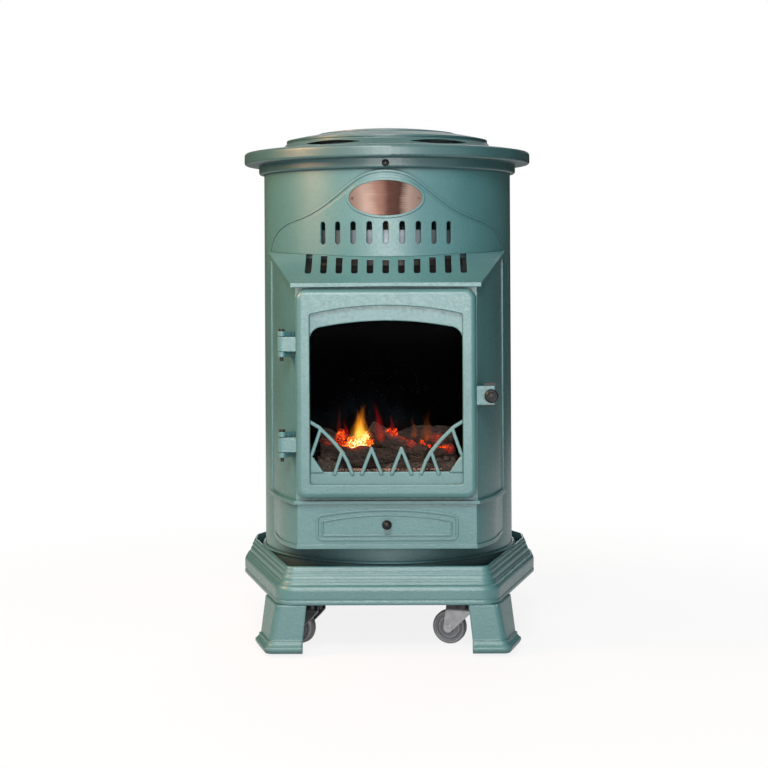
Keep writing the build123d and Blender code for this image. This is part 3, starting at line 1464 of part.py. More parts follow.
# ---------------------------------------------------------------- write every piece
def make_nodes():
    nodes = {
        "plinth": make_plinth(),
        "foot_bolts": make_foot_bolts(),
        "base_plate": make_base_plate(),
        "base_pan": make_base_pan(),
    }
    for name, level in (("front", plinth_side_front), ("rear", -plinth_side_rear)):
        foot = make_foot(plinth_cheek(level), 1.0 if name == "front" else foot_rear_share)
        foot = mirror(foot, Plane.XZ) if name == "rear" else foot
        nodes["foot_" + name + "_right"] = foot
        nodes["foot_" + name + "_left"] = mirror(foot, Plane.YZ)
    castor_tops = Part()
    for name in castor_turns:
        place = castor_place(name)
        castor_tops += place * make_castor_top()
        nodes["castor_fork_" + name] = place * Compound(children=[make_castor_fork(), make_castor_axle()])
        nodes["castor_wheel_" + name] = place * make_castor_wheel()
    nodes["castor_tops"] = castor_tops
    nodes["drum_shell"] = make_drum()
    nodes["rear_cover"] = make_rear_cover()
    nodes["rear_cover_grip"] = make_rear_grip()
    nodes["lower_box"] = make_lower_box()
    nodes["drawer_knob"] = make_drawer_knob()
    nodes["bay_casting"] = make_bay()
    nodes["canopy"] = make_canopy()
    nodes["upper_front_panel"] = make_upper_panel()
    nodes["badge_plate"] = make_badge()
    nodes["badge_rivets"] = make_badge_rivets()
    nodes["heat_guard"] = make_heat_guard()
    nodes["top_casting"] = make_top_casting()
    nodes["top_screws"] = make_top_screws()
    nodes["vent_ring"] = make_vent_ring()
    nodes["lid"] = make_lid()
    nodes["lid_bridge"] = make_lid_bridge()
    nodes["lid_bolt"] = make_lid_bolt()
    nodes["door_frame"] = make_door_frame()
    nodes["door_insert"] = make_door_insert()
    nodes["door_glass"] = make_door_glass()
    nodes["glass_clips"] = make_glass_clips()
    nodes["door_seal"] = make_door_seal()
    nodes["hinge_brackets"] = make_hinge_brackets()
    nodes["hinge_pins"] = make_hinge_pins()
    nodes["latch_knob"] = make_latch_knob()
    nodes["latch_cam"] = make_latch_cam()
    nodes["latch_keeper"] = make_latch_keeper()
    nodes["firebox"] = make_firebox()
    nodes["bulkhead"] = make_bulkhead()
    nodes["burner"] = make_burner()
    nodes["ember_bed"] = make_ember_bed()
    nodes.update(make_logs())
    nodes["pilot"] = make_pilot()
    nodes["burner_pipe"] = make_burner_pipe()
    nodes["gas_valve"] = make_gas_valve()
    nodes["hose_tail"] = make_hose_tail()
    nodes["valve_spindle"] = make_spindle()
    nodes["control_knob"] = make_control_knob()
    nodes["piezo_igniter"] = make_piezo()
    nodes["piezo_button"] = make_piezo_button()
    return nodes


os.makedirs("parts", exist_ok=True)
for name, piece in make_nodes().items():
    export_step(Pos(0, axis_shift, 0) * piece, f"parts/{name}.step")
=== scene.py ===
import math
import random

import bmesh
import bpy
from mathutils import Matrix, Vector, noise


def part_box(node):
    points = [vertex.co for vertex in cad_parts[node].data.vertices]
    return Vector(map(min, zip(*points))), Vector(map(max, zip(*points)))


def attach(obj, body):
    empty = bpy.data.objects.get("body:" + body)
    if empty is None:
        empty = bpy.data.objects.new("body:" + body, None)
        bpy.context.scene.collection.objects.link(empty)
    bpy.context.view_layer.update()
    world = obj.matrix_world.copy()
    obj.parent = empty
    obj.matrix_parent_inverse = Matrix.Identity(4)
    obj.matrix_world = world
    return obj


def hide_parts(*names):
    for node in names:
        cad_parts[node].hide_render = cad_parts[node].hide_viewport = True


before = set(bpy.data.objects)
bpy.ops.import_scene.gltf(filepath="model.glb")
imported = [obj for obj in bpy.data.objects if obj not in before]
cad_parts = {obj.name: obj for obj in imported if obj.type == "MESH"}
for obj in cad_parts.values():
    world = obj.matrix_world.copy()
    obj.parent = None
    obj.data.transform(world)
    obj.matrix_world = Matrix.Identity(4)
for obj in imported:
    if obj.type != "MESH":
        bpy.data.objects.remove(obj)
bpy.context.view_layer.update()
print("frame loaded:", len(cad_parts), "nodes")


class Wire:
    # one value on a board of nodes; arithmetic on it adds Math nodes
    def __init__(self, board, socket):
        self.board, self.socket = board, socket

    def calc(self, operation, *values, clamp=False):
        settings = {"operation": operation, "use_clamp": clamp}
        return self.board.add("ShaderNodeMath", settings, dict(enumerate(values)))

    def __add__(self, other):
        return self.calc("ADD", self, other)

    def __sub__(self, other):
        return self.calc("SUBTRACT", self, other)

    def __rsub__(self, other):
        return self.calc("SUBTRACT", other, self)

    def __mul__(self, other):
        return self.calc("MULTIPLY", self, other)

    def __truediv__(self, other):
        return self.calc("DIVIDE", self, other)

    def __pow__(self, other):
        return self.calc("POWER", self, other)

    __radd__ = __add__
    __rmul__ = __mul__

    def clip(self):
        return self.calc("ADD", self, 0.0, clamp=True)

    def twin(self, name):
        # another output of the same node
        return Wire(self.board, self.socket.node.outputs[name])


class Board:
    # a tree of nodes, and one way to add any node to it
    def __init__(self, tree):
        self.nodes, self.links = tree.nodes, tree.links

    def feed(self, node, key, value):
        socket = node.inputs[key.replace("_", " ") if isinstance(key, str) else key]
        if isinstance(value, Wire):
            self.links.new(value.socket, socket)
        else:
            socket.default_value = (*value, 1.0) if socket.type == "RGBA" and len(value) == 3 else value

    def add(self, kind, settings=None, sockets=None, out=0):
        node = self.nodes.new(kind)
        settings = dict(settings or {})
        stops = settings.pop("stops", None)
        for key, value in settings.items():
            setattr(node, key, value)
        if stops:
            ramp = node.color_ramp
            while len(ramp.elements) < len(stops):
                ramp.elements.new(0.5)
            for element, (position, colour) in zip(ramp.elements, stops):
                element.position = position
                element.color = (*colour, 1.0)
        for key, value in (sockets or {}).items():
            self.feed(node, key, value)
        return Wire(self, node.outputs[out])

    def seenDirectly(self):
        # 1 for camera, mirror and see-through rays, which then meet plain white
        path = self.add("ShaderNodeLightPath", out="Is Camera Ray")
        seen = path.calc("MAXIMUM", path, path.twin("Is Glossy Ray"))
        return seen.calc("MAXIMUM", seen, path.twin("Is Transmission Ray"))


class Finish(Board):
    # a material and its shader
    def __init__(self, name, **fixed):
        self.material = bpy.data.materials.new(name)
        self.material.use_nodes = True
        super().__init__(self.material.node_tree)
        self.shader = self.nodes["Principled BSDF"]
        self.place = self.add("ShaderNodeTexCoord", out="Object")
        for key, value in fixed.items():
            self.feed(self.shader, key, value)

    def noise(self, scale, detail=3.0, roughness=0.55, stretch=None, distortion=0.0):
        place = self.place
        if stretch:
            place = self.add("ShaderNodeVectorMath", {"operation": "MULTIPLY"}, {0: place, 1: stretch})
        return self.add("ShaderNodeTexNoise", None, {"Vector": place, "Scale": scale, "Detail": detail,
                                                     "Roughness": roughness, "Distortion": distortion})

    def coordinate(self, name):
        return self.add("ShaderNodeSeparateXYZ", None, {"Vector": self.place}, out=name)

    def ramp(self, value, stops):
        return self.add("ShaderNodeValToRGB", {"stops": stops}, {"Fac": value})

    def level(self, value, low, high, bottom=0.0, top=1.0):
        # value moved from low..high to bottom..top
        return self.add("ShaderNodeMapRange", None, {"Value": value, "From Min": low, "From Max": high,
                                                     "To Min": bottom, "To Max": top})

    def mix(self, factor, first, second):
        return self.add("ShaderNodeMix", {"data_type": "RGBA"}, {0: factor, 6: first, 7: second}, out=2)

    def edges(self, distance, inside):
        # near 1 at outer edges with inside on, near 1 in hollows with it off
        settings = {"inside": inside, "samples": 8}
        return 1.0 - self.add("ShaderNodeAmbientOcclusion", settings, {"Distance": distance}, out="AO")

    def bump(self, height, distance, strength=1.0, radius=0.0):
        sockets = {"Height": height, "Distance": distance, "Strength": strength}
        if radius:
            sockets["Normal"] = self.add("ShaderNodeBevel", {"samples": 6}, {"Radius": radius})
        return self.add("ShaderNodeBump", None, sockets)

    def use(self, **values):
        for key, value in values.items():
            self.feed(self.shader, key, value)
        return self.material


def dress(material, *names):
    # gives CAD nodes their finish
    for name in names:
        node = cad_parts[name]
        node.data.materials.clear()
        node.data.materials.append(material)


enamel = {
    # pale is also the colour of the painted highlight on rims; deep and shade are also the colours of the painted
    # shade in hollows and recesses
    "colour": (0.036, 0.112, 0.12), "pale": (0.078, 0.18, 0.185),
    "deep": (0.012, 0.05, 0.058), "shade": (0.003, 0.016, 0.019),
    "roughness": 0.38, "sheen": 0.62,
    "cloudScale": 9.0, "cloudShare": 0.3,
    "speckScale": 260.0, "speckShare": 0.22,
    # painted shade in hollows and deep recesses: reach and share of the darker colours, and how much rougher the
    # recesses get
    "hollowReach": 0.007, "hollowShare": 0.6,
    "recessShadeShare": 0.9, "sunkRough": 0.45,
    "polished": 0.05, "dusty": 0.09,        # how far specks move the roughness either way
    "waveScale": 90.0, "waveShare": 0.5, "peelStrength": 0.8,
}


def enamelFinish(name, peel, peelScale, rim, rimHighlight=0.55, wall=0.0018, recess=(0.05, 0.64, 0.97), shaded=1.0):
    # orange peel, a painted highlight along rounded rims in the pale colour, and painted shade: darker colour in
    # hollows and in deeper recesses, which are also rougher
    finish = Finish(name, Specular_IOR_Level=enamel["sheen"])
    cloud = finish.noise(enamel["cloudScale"], 4.0)
    speck = finish.noise(enamel["speckScale"], 2.0, 0.6)
    orangePeel = finish.noise(peelScale, 2.0, 0.5)
    # mask of outer rims, for the painted highlight below
    edge = finish.level(finish.edges(wall, True), 0.35, 0.85)
    hollow = finish.level(finish.edges(enamel["hollowReach"], False), 0.25, 0.95)
    # a factor below one darkens the paint for the top parts, as painted shade
    paint, faded = ([c * shaded for c in enamel[key]] for key in ("colour", "pale"))
    colour = finish.mix(finish.level(cloud, 0.3, 0.7) * enamel["cloudShare"], paint, faded)
    colour = finish.mix(finish.level(speck, 0.42, 0.75) * enamel["speckShare"], colour, enamel["deep"])
    # painted highlight: rims go towards the pale colour
    colour = finish.mix(edge * rimHighlight, colour, enamel["pale"])
    # painted shade: hollows go towards the deep colour
    colour = finish.mix(hollow * enamel["hollowShare"], colour, enamel["deep"])
    # painted shade: deep recesses, such as under overhangs, go towards the shade colour, and are also rougher
    reach, start, full = recess
    sunk = finish.level(finish.edges(reach, False), start, full)
    colour = finish.mix(sunk * enamel["recessShadeShare"], colour, enamel["shade"])
    smooth, rough = enamel["roughness"] - enamel["polished"], enamel["roughness"] + enamel["dusty"]
    roughness = finish.level(speck, 0.25, 0.75, smooth, rough) + sunk * enamel["sunkRough"]
    height = orangePeel + finish.noise(enamel["waveScale"], 2.0) * enamel["waveShare"]
    return finish.use(Base_Color=colour, Roughness=roughness,
                      Normal=finish.bump(height, peel, enamel["peelStrength"], rim))


# the hollow values set a painted shade in hollows
metal = {"stainScale": 60.0, "stainRough": 0.1, "hollowReach": 0.004, "hollowShare": 0.5, "polished": 0.07,
         "worn": 0.12, "scratchDepth": 0.00004, "rim": 0.0005}


def metalFinish(name, colour, dull, roughness, stretch=(1, 1, 1), scratch=900.0):
    finish = Finish(name, Metallic=1.0)
    grain = finish.noise(scratch, 3.0, 0.6, stretch)
    stain = finish.noise(metal["stainScale"], 4.0, 0.6)
    hollow = finish.edges(metal["hollowReach"], False)
    shade = finish.mix(finish.level(stain, 0.4, 0.7), colour, dull)
    # painted shade: hollows go towards the darker colour
    shade = finish.mix(hollow * metal["hollowShare"], shade, dull)
    rough = finish.level(grain, 0.3, 0.7, roughness - metal["polished"], roughness + metal["worn"])
    return finish.use(Base_Color=shade, Roughness=rough + stain * metal["stainRough"],
                      Normal=finish.bump(grain, metal["scratchDepth"], 0.6, metal["rim"]))


brushed = {
    "roughness": 0.36, "polished": 0.05, "worn": 0.1,
    "line": 900.0, "fine": 2.4,             # scale of the brush lines, and the finer ones against it
    "reflectionWaver": 0.16, "reflectionWaverScale": 26.0, "streak": 0.14, "lineDepth": 0.00005, "rim": 0.0006,
    # share across the plate, colour of the painted reflection
    "bands": [(0.0, (0.15, 0.105, 0.088)), (0.2, (0.185, 0.13, 0.11)), (0.38, (0.075, 0.042, 0.032)),
              (0.54, (0.02, 0.0095, 0.0075)), (0.7, (0.018, 0.009, 0.007)), (0.82, (0.13, 0.092, 0.077)),
              (1.0, (0.17, 0.122, 0.103))],
}


def brushedFinish(name):
    # fine brush lines, and soft upright bands of painted reflection, pale at both sides and dark in the middle, that
    # waver a little
    finish = Finish(name, Metallic=1.0)
    low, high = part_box("badge_plate")
    line = finish.noise(brushed["line"], 2.0, 0.6, (0.03, 0.03, 1))
    fine = finish.noise(brushed["line"] * brushed["fine"], 1.0, 0.5, (0.05, 0.05, 1))
    reflectionWaver = (finish.noise(brushed["reflectionWaverScale"], 2.0) - 0.5) * brushed["reflectionWaver"]
    share = (finish.coordinate("X") - low.x) / (high.x - low.x) + reflectionWaver
    # painted reflection: pale and dark bands set by the place across the plate
    shade = finish.ramp((share + (line - 0.5) * brushed["streak"]).clip(), brushed["bands"])
    smooth, rough = brushed["roughness"] - brushed["polished"], brushed["roughness"] + brushed["worn"]
    return finish.use(Base_Color=shade, Roughness=finish.level(fine, 0.3, 0.7, smooth, rough),
                      Normal=finish.bump(line + fine, brushed["lineDepth"], 0.5, brushed["rim"]))


guard = {"bare": (0.13, 0.15, 0.17), "scorched": (0.012, 0.009, 0.008), "line": 0.011, "blend": 0.007, "waver": 0.006,
         "shine": 0.8, "roughness": 0.5, "polished": 0.1, "worn": 0.15, "relief": 0.0002}


def guardFinish(name):
    # sheet that the fire has blackened from below
    finish = Finish(name)
    height = finish.coordinate("Z")
    cloud = finish.noise(50.0, 4.0, 0.6)
    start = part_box("heat_guard")[0].z + guard["line"]
    clean = finish.level(height + cloud * guard["waver"], start, start + guard["blend"])
    shade = finish.mix(clean, guard["scorched"], guard["bare"])
    smooth, rough = guard["roughness"] - guard["polished"], guard["roughness"] + guard["worn"]
    return finish.use(Base_Color=shade, Roughness=finish.level(cloud, 0.3, 0.7, smooth, rough),
                      Metallic=clean * guard["shine"], Normal=finish.bump(cloud, guard["relief"]))


blackParts = {"smearScale": 45.0, "smearShare": 0.5, "smearRough": 0.14, "edgeReach": 0.0015, "edgeShare": 0.5,
              "grainScale": 700.0, "grainDepth": 0.00003, "rim": 0.0006}


def blackFinish(name, colour, worn, roughness, sheen):
    # black knobs and blackened steel, a little worn at the edges
    finish = Finish(name, Specular_IOR_Level=sheen)
    grain = finish.noise(blackParts["grainScale"], 2.0)
    smear = finish.noise(blackParts["smearScale"], 4.0, 0.6)
    edge = finish.level(finish.edges(blackParts["edgeReach"], True), 0.4, 0.9)
    shade = finish.mix(finish.level(smear, 0.4, 0.75) * blackParts["smearShare"], colour, worn)
    shade = finish.mix(edge * blackParts["edgeShare"], shade, worn)
    rough = finish.level(smear, 0.3, 0.75, roughness, roughness + blackParts["smearRough"])
    return finish.use(Base_Color=shade, Roughness=rough,
                      Normal=finish.bump(grain, blackParts["grainDepth"], 0.5, blackParts["rim"]))


soot = {"ash": 2.4, "ashShare": 0.6, "cloudScale": 28.0, "grainScale": 400.0, "grainDepth": 0.0002, "spread": 0.1}


def sootFinish(name, colour, roughness, sheen):
    finish = Finish(name, Specular_IOR_Level=sheen)
    cloud = finish.noise(soot["cloudScale"], 5.0, 0.6)
    grain = finish.noise(soot["grainScale"], 3.0)
    ash = [c * soot["ash"] for c in colour]
    shade = finish.mix(finish.level(cloud, 0.45, 0.8) * soot["ashShare"], colour, ash)
    rough = finish.level(cloud, 0.3, 0.7, roughness - soot["spread"], roughness + soot["spread"])
    return finish.use(Base_Color=shade, Roughness=rough, Normal=finish.bump(grain, soot["grainDepth"], 0.6))


glass = {"tint": (0.002, 0.0018, 0.0018), "roughness": 0.09, "index": 1.45, "sheen": 0.02, "smokeScale": 14.0,
         "clearest": 0.03, "smokiest": 0.08}


def glassFinish(name):
    finish = Finish(name, Base_Color=glass["tint"], Roughness=glass["roughness"], IOR=glass["index"],
                    Specular_IOR_Level=glass["sheen"])
    smoke = finish.noise(glass["smokeScale"], 4.0, 0.6, (1, 1, 0.35))
    return finish.use(Alpha=finish.level(smoke, 0.35, 0.75, glass["clearest"], glass["smokiest"]))


# the rim values set how far edges turn pale, a painted highlight, strongest on the grate bars
enamels = {
    "satinCastEnamel": {
        "peel": 0.0003, "peelScale": 380.0, "rim": 0.0014,
        "on": ["lower_box", "bay_casting", "canopy", "upper_front_panel", "door_frame", "hinge_brackets"]},
    "satinSheetEnamel": {
        "peel": 0.00012, "peelScale": 620.0, "rim": 0.0006, "rimHighlight": 0.4, "wall": 0.0006, "recess": (0.08, 0.3, 0.66),
        "on": ["drum_shell", "rear_cover", "rear_cover_grip", "base_pan"]},
    "grateEnamel": {
        "peel": 0.00012, "peelScale": 520.0, "rim": 0.0026, "rimHighlight": 0.75, "wall": 0.0016, "on": ["door_insert"]},
    "softCastEnamel": {
        "peel": 0.0003, "peelScale": 380.0, "rim": 0.0038, "rimHighlight": 0.25,
        "on": ["plinth", "foot_front_right", "foot_front_left", "foot_rear_right", "foot_rear_left"]},
    # a darker copy of the enamel for the top parts, as painted shade
    "shadedTopEnamel": {
        "peel": 0.0003, "peelScale": 380.0, "rim": 0.0014, "shaded": 0.6, "on": ["top_casting", "vent_ring", "lid"]},
}
for enamelName, enamelValues in enamels.items():
    enamelled = enamelValues.pop("on")
    dress(enamelFinish(enamelName, **enamelValues), *enamelled)

castorNames = ["front_right", "front_left", "rear_right", "rear_left"]
# the edge colour is a painted highlight; the dark colour is a painted shadow over the crown, above the crown height
fork = {"bare": (0.34, 0.345, 0.36), "edge": (0.62, 0.62, 0.63), "edgeReach": 0.0018, "edgeShare": 0.7,
        "stained": 0.62, "dark": (0.006, 0.006, 0.008), "crown": 0.05, "blend": 0.003, "waver": 0.003,
        "smooth": 0.28, "rough": 0.42, "relief": 0.0001, "rim": 0.0006}


def forkFinish(name):
    # bright plate, with a painted highlight along its edges and a painted shadow, near black, over its crown
    finish = Finish(name)
    height = finish.coordinate("Z") + (finish.noise(220.0) - 0.5) * fork["waver"]
    # painted shadow: above the crown height the plate turns near black and is no longer metal
    black = finish.level(height, fork["crown"], fork["crown"] + fork["blend"])
    stain = finish.noise(60.0, 4.0, 0.6)
    edgeHighlight = finish.level(finish.edges(fork["edgeReach"], True), 0.3, 0.8)
    stained = [c * fork["stained"] for c in fork["bare"]]
    shade = finish.mix(finish.level(stain, 0.35, 0.7), fork["bare"], stained)
    # painted highlight: edges go towards the light edge colour
    shade = finish.mix(edgeHighlight * fork["edgeShare"], shade, fork["edge"])
    shade = finish.mix(black, shade, fork["dark"])
    return finish.use(Base_Color=shade, Metallic=1.0 - black,
                      Roughness=finish.level(stain, 0.3, 0.7, fork["smooth"], fork["rough"]),
                      Normal=finish.bump(stain, fork["relief"], 0.5, fork["rim"]))


wheel = {
    # share of the wheel's radius, colour
    "rings": [(0.0, (0.16, 0.165, 0.18)), (0.5, (0.105, 0.11, 0.125)), (0.62, (0.2, 0.205, 0.22)),
              (0.66, (0.09, 0.095, 0.11)), (0.8, (0.115, 0.12, 0.135)), (0.86, (0.24, 0.245, 0.26)),
              (0.9, (0.1, 0.105, 0.12)), (0.955, (0.085, 0.088, 0.1)), (0.985, (0.012, 0.012, 0.014)),
              (1.0, (0.008, 0.008, 0.009))],
    "ringSpread": 0.93, "waver": 0.01, "dust": (0.15, 0.15, 0.155), "dustShare": 0.3,
    "roughness": 0.4, "smearRough": 0.14, "sheen": 0.35, "grainDepth": 0.00005, "rim": 0.0006,
}


def wheelFinish(name, node):
    # moulded grey wheel with turned rings and a dark tread
    finish = Finish(name, Specular_IOR_Level=wheel["sheen"])
    low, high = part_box(node)
    radius = (high.z - low.z) / 2
    ends = {0: finish.place, 1: (low + high) / 2}
    away = finish.add("ShaderNodeVectorMath", {"operation": "DISTANCE"}, ends, out="Value")
    smear = finish.noise(60.0, 4.0, 0.6)
    share = away / radius * wheel["ringSpread"] + (smear - 0.5) * wheel["waver"]
    dusty = finish.level(smear, 0.4, 0.8) * wheel["dustShare"]
    shade = finish.mix(dusty, finish.ramp(share.clip(), wheel["rings"]), wheel["dust"])
    rough = finish.level(smear, 0.3, 0.75, wheel["roughness"], wheel["roughness"] + wheel["smearRough"])
    return finish.use(Base_Color=shade, Roughness=rough,
                      Normal=finish.bump(finish.noise(500.0), wheel["grainDepth"], 0.5, wheel["rim"]))


# colour, darker colour for stains and for the painted shade in hollows, roughness
zinc = metalFinish("zincPlate", (0.3, 0.31, 0.325), (0.15, 0.155, 0.165), 0.33)
galvanised = metalFinish("galvanisedSheet", (0.17, 0.195, 0.215), (0.09, 0.105, 0.12), 0.46, (1, 1, 0.25), 260.0)
copper = metalFinish("copperPipe", (0.4, 0.2, 0.14), (0.22, 0.095, 0.06), 0.36)
brass = metalFinish("machinedBrass", (0.78, 0.57, 0.27), (0.5, 0.33, 0.13), 0.3)
darkCopper = metalFinish("darkCopper", (0.07, 0.035, 0.028), (0.03, 0.014, 0.011), 0.35)
# colour, worn colour, roughness, sheen
glossBlack = blackFinish("glossBlack", (0.007, 0.007, 0.0075), (0.016, 0.016, 0.018), 0.26, 0.16)
blackSteel = blackFinish("blackenedSteel", (0.01, 0.01, 0.011), (0.03, 0.029, 0.031), 0.3, 0.2)
# colour, roughness, sheen
sooted = sootFinish("sootedSteel", (0.00025, 0.0002, 0.00025), 0.9, 0.0)
sootedPilot = sootFinish("sootedPilot", (0.004, 0.004, 0.004), 0.7, 0.1)
darkSteel = sootFinish("darkSteel", (0.014, 0.014, 0.015), 0.6, 0.3)
rope = sootFinish("graphiteRope", (0.02, 0.02, 0.021), 0.9, 0.01)

dress(zinc, "foot_bolts", "lid_bolt", "valve_spindle", "latch_cam")
dress(galvanised, "burner")
dress(copper, "burner_pipe")
dress(brass, "gas_valve", "hose_tail")
dress(darkCopper, "badge_rivets")
dress(glossBlack, "drawer_knob", "latch_knob", "control_knob", "piezo_igniter", "piezo_button")
dress(blackSteel, "top_screws", "hinge_pins", "latch_keeper", "castor_tops")
dress(sooted, "firebox", "glass_clips")
dress(sootedPilot, "pilot")
dress(darkSteel, "base_plate", "bulkhead", "lid_bridge")
dress(rope, "door_seal")
dress(guardFinish("scorchedGuard"), "heat_guard")
dress(brushedFinish("brushedCopper"), "badge_plate")
dress(glassFinish("fireGlass"), "door_glass")
dress(forkFinish("zincFork"), *["castor_fork_" + name for name in castorNames])
for castorName in castorNames:
    dress(wheelFinish("greyWheel_" + castorName, "castor_wheel_" + castorName), "castor_wheel_" + castorName)
print("finishes made")

studio = {
    "floorColour": (0.55, 0.56, 0.57), "floorRoughness": 0.9, "floorSheen": 0.1, "floorHalf": 6.0,
    "floorReach": (0.3, 1.2), "floorWhite": (0.86, 1.0),    # from and to: distance, share of plain white
    "worldLight": 0.09,
    "flagColour": (0.02, 0.02, 0.02), "flagHeight": 2.2,
    "aim": (0.0, 0.0, 0.45),
}
lamps = {
    "key": {"place": (-1.2, -0.52, 1.2), "size": (0.45, 0.7), "power": 33.0, "colour": (1.0, 0.52, 0.24)},
    "front": {"place": (0.05, -2.95, 0.6), "size": (1.3, 0.55), "power": 50.0, "colour": (1.0, 0.985, 0.97)},
    "high": {"place": (-0.25, -2.0, 1.8), "size": (1.2, 0.8), "power": 62.0, "colour": (1.0, 0.985, 0.95)},
    "back": {"place": (0.15, 2.5, 1.55), "size": (1.6, 0.6), "power": 60.0, "colour": (1.0, 0.99, 0.98)},
}
flags = {
    # start and end on the floor
    "flagRight": ((1.3, -0.7), (1.3, 2.3)),
    "flagLeft": ((-1.35, -0.25), (-1.35, 2.3)),
    "flagBack": ((-1.35, 2.3), (1.3, 2.3)),
}
white = (1.0, 1.0, 1.0)


def addObject(name, data):
    thing = bpy.data.objects.new(name, data)
    bpy.context.scene.collection.objects.link(thing)
    return thing


def makeWorld():
    world = bpy.data.worlds.new("studio")
    bpy.context.scene.world = world
    world.use_nodes = True
    board = Board(world.node_tree)
    ground = board.nodes["Background"]
    board.feed(ground, "Color", white)
    board.feed(ground, "Strength", studio["worldLight"])
    backdrop = board.add("ShaderNodeBackground", None, {"Color": white, "Strength": 1.0})
    shown = {0: board.seenDirectly(), 1: Wire(board, ground.outputs[0]), 2: backdrop}
    board.feed(board.nodes["World Output"], "Surface", board.add("ShaderNodeMixShader", None, shown))


def makeFloor():
    # takes the object's shadow, and fades to the white of the background further out
    mesh = bpy.data.meshes.new("floor")
    half = studio["floorHalf"]
    mesh.from_pydata([(-half, -half, 0), (half, -half, 0), (half, half, 0), (-half, half, 0)], [], [(0, 1, 2, 3)])
    floor = addObject("floor", mesh)
    finish = Finish("paleFloor", Base_Color=studio["floorColour"], Roughness=studio["floorRoughness"],
                    Specular_IOR_Level=studio["floorSheen"])
    glow = finish.add("ShaderNodeEmission", None, {"Color": white})
    away = finish.add("ShaderNodeVectorMath", {"operation": "LENGTH"}, {0: finish.place}, out="Value")
    (near, far), (dim, full) = studio["floorReach"], studio["floorWhite"]
    fade = finish.add("ShaderNodeMapRange", {"interpolation_type": "SMOOTHSTEP"},
                      {"Value": away, "From Min": near, "From Max": far, "To Min": dim, "To Max": full})
    shown = {0: finish.seenDirectly() * fade, 1: Wire(finish, finish.shader.outputs[0]), 2: glow}
    finish.feed(finish.nodes["Material Output"], "Surface", finish.add("ShaderNodeMixShader", None, shown))
    mesh.materials.append(finish.material)


def makeLamp(name, values):
    data = bpy.data.lights.new(name, "AREA")
    data.shape = "RECTANGLE"
    data.size, data.size_y = values["size"]
    data.energy, data.color = values["power"], values["colour"]
    lamp = addObject(name, data)
    lamp.location = values["place"]
    lamp.rotation_euler = (Vector(studio["aim"]) - lamp.location).to_track_quat("-Z", "Y").to_euler()


def makeFlag(name, start, end):
    # dark cloth beside or behind the object, met by reflections alone, so that its sides don't shine white
    mesh = bpy.data.meshes.new(name)
    top = studio["flagHeight"]
    mesh.from_pydata([(*start, 0), (*end, 0), (*end, top), (*start, top)], [], [(0, 1, 2, 3)])
    mesh.materials.append(Finish("darkCloth", Base_Color=studio["flagColour"], Roughness=1.0).material)
    flag = addObject(name, mesh)
    flag.visible_camera = flag.visible_diffuse = flag.visible_shadow = flag.visible_transmission = False


makeWorld()
makeFloor()
for flagName, flagEnds in flags.items():
    makeFlag(flagName, *flagEnds)
for lampName, lampValues in lamps.items():
    makeLamp(lampName, lampValues)

axisDepth = 0.00805           # drum axis behind the row's centre
view = {
    "distance": 2.515,        # lens to drum axis
    "height": 0.565,
    "lens": 75.0, "sensor": 36.0, "nearest": 0.05,
    "shiftX": -0.0046,
    "shiftY": -0.159,
    "roll": 0.3,
    "turn": 0.7,              # the object stands turned a little in the photograph
}
cameraData = bpy.data.cameras.new("camera")
cameraData.sensor_width, cameraData.lens, cameraData.clip_start = view["sensor"], view["lens"], view["nearest"]
cameraData.shift_x, cameraData.shift_y = view["shiftX"], view["shiftY"]
camera = addObject("camera", cameraData)
turn = math.radians(view["turn"])
camera.location = (math.sin(turn) * view["distance"], axisDepth - math.cos(turn) * view["distance"], view["height"])
camera.rotation_euler = (math.radians(90), math.radians(view["roll"]), turn)
bpy.context.scene.camera = camera
bpy.context.scene.view_settings.view_transform = "Standard"
print("studio ready")


def spot(x, front, z):
    # millimetres from the drum axis, as the part's source counts them, to the row's frame
    return Vector((x / 1000, axisDepth - front / 1000, z / 1000))


def along(points, share):
    # a smooth line through any number of points, Catmull-Rom
    spans = len(points) - 1
    step = min(int(share * spans), spans - 1)
    t = share * spans - step
    p0, p1, p2, p3 = (points[max(0, min(spans, step + shift))] for shift in (-1, 0, 1, 2))
    return 0.5 * (2 * p1 + (p2 - p0) * t + (2 * p0 - 5 * p1 + 4 * p2 - p3) * t ** 2
                  + (3 * p1 - p0 - 3 * p2 + p3) * t ** 3)


def addPiece(name, mesh, material, body):
    piece = addObject(name, mesh)
    mesh.materials.append(material)
    for face in mesh.polygons:
        face.use_smooth = True
    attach(piece, body)
    return piece


def meshFrom(work, name, outward=True):
    if outward:
        bmesh.ops.recalc_face_normals(work, faces=work.faces)
    mesh = bpy.data.meshes.new(name)
    work.to_mesh(mesh)
    work.free()
    return mesh


def warmUp(mesh, warmths):
    # stores how hot each point is, for the ember colours
    heat = mesh.color_attributes.new("emberWarmth", "FLOAT_COLOR", "POINT")
    for point, warm in zip(heat.data, warmths):
        point.color = (warm, warm, warm, 1)


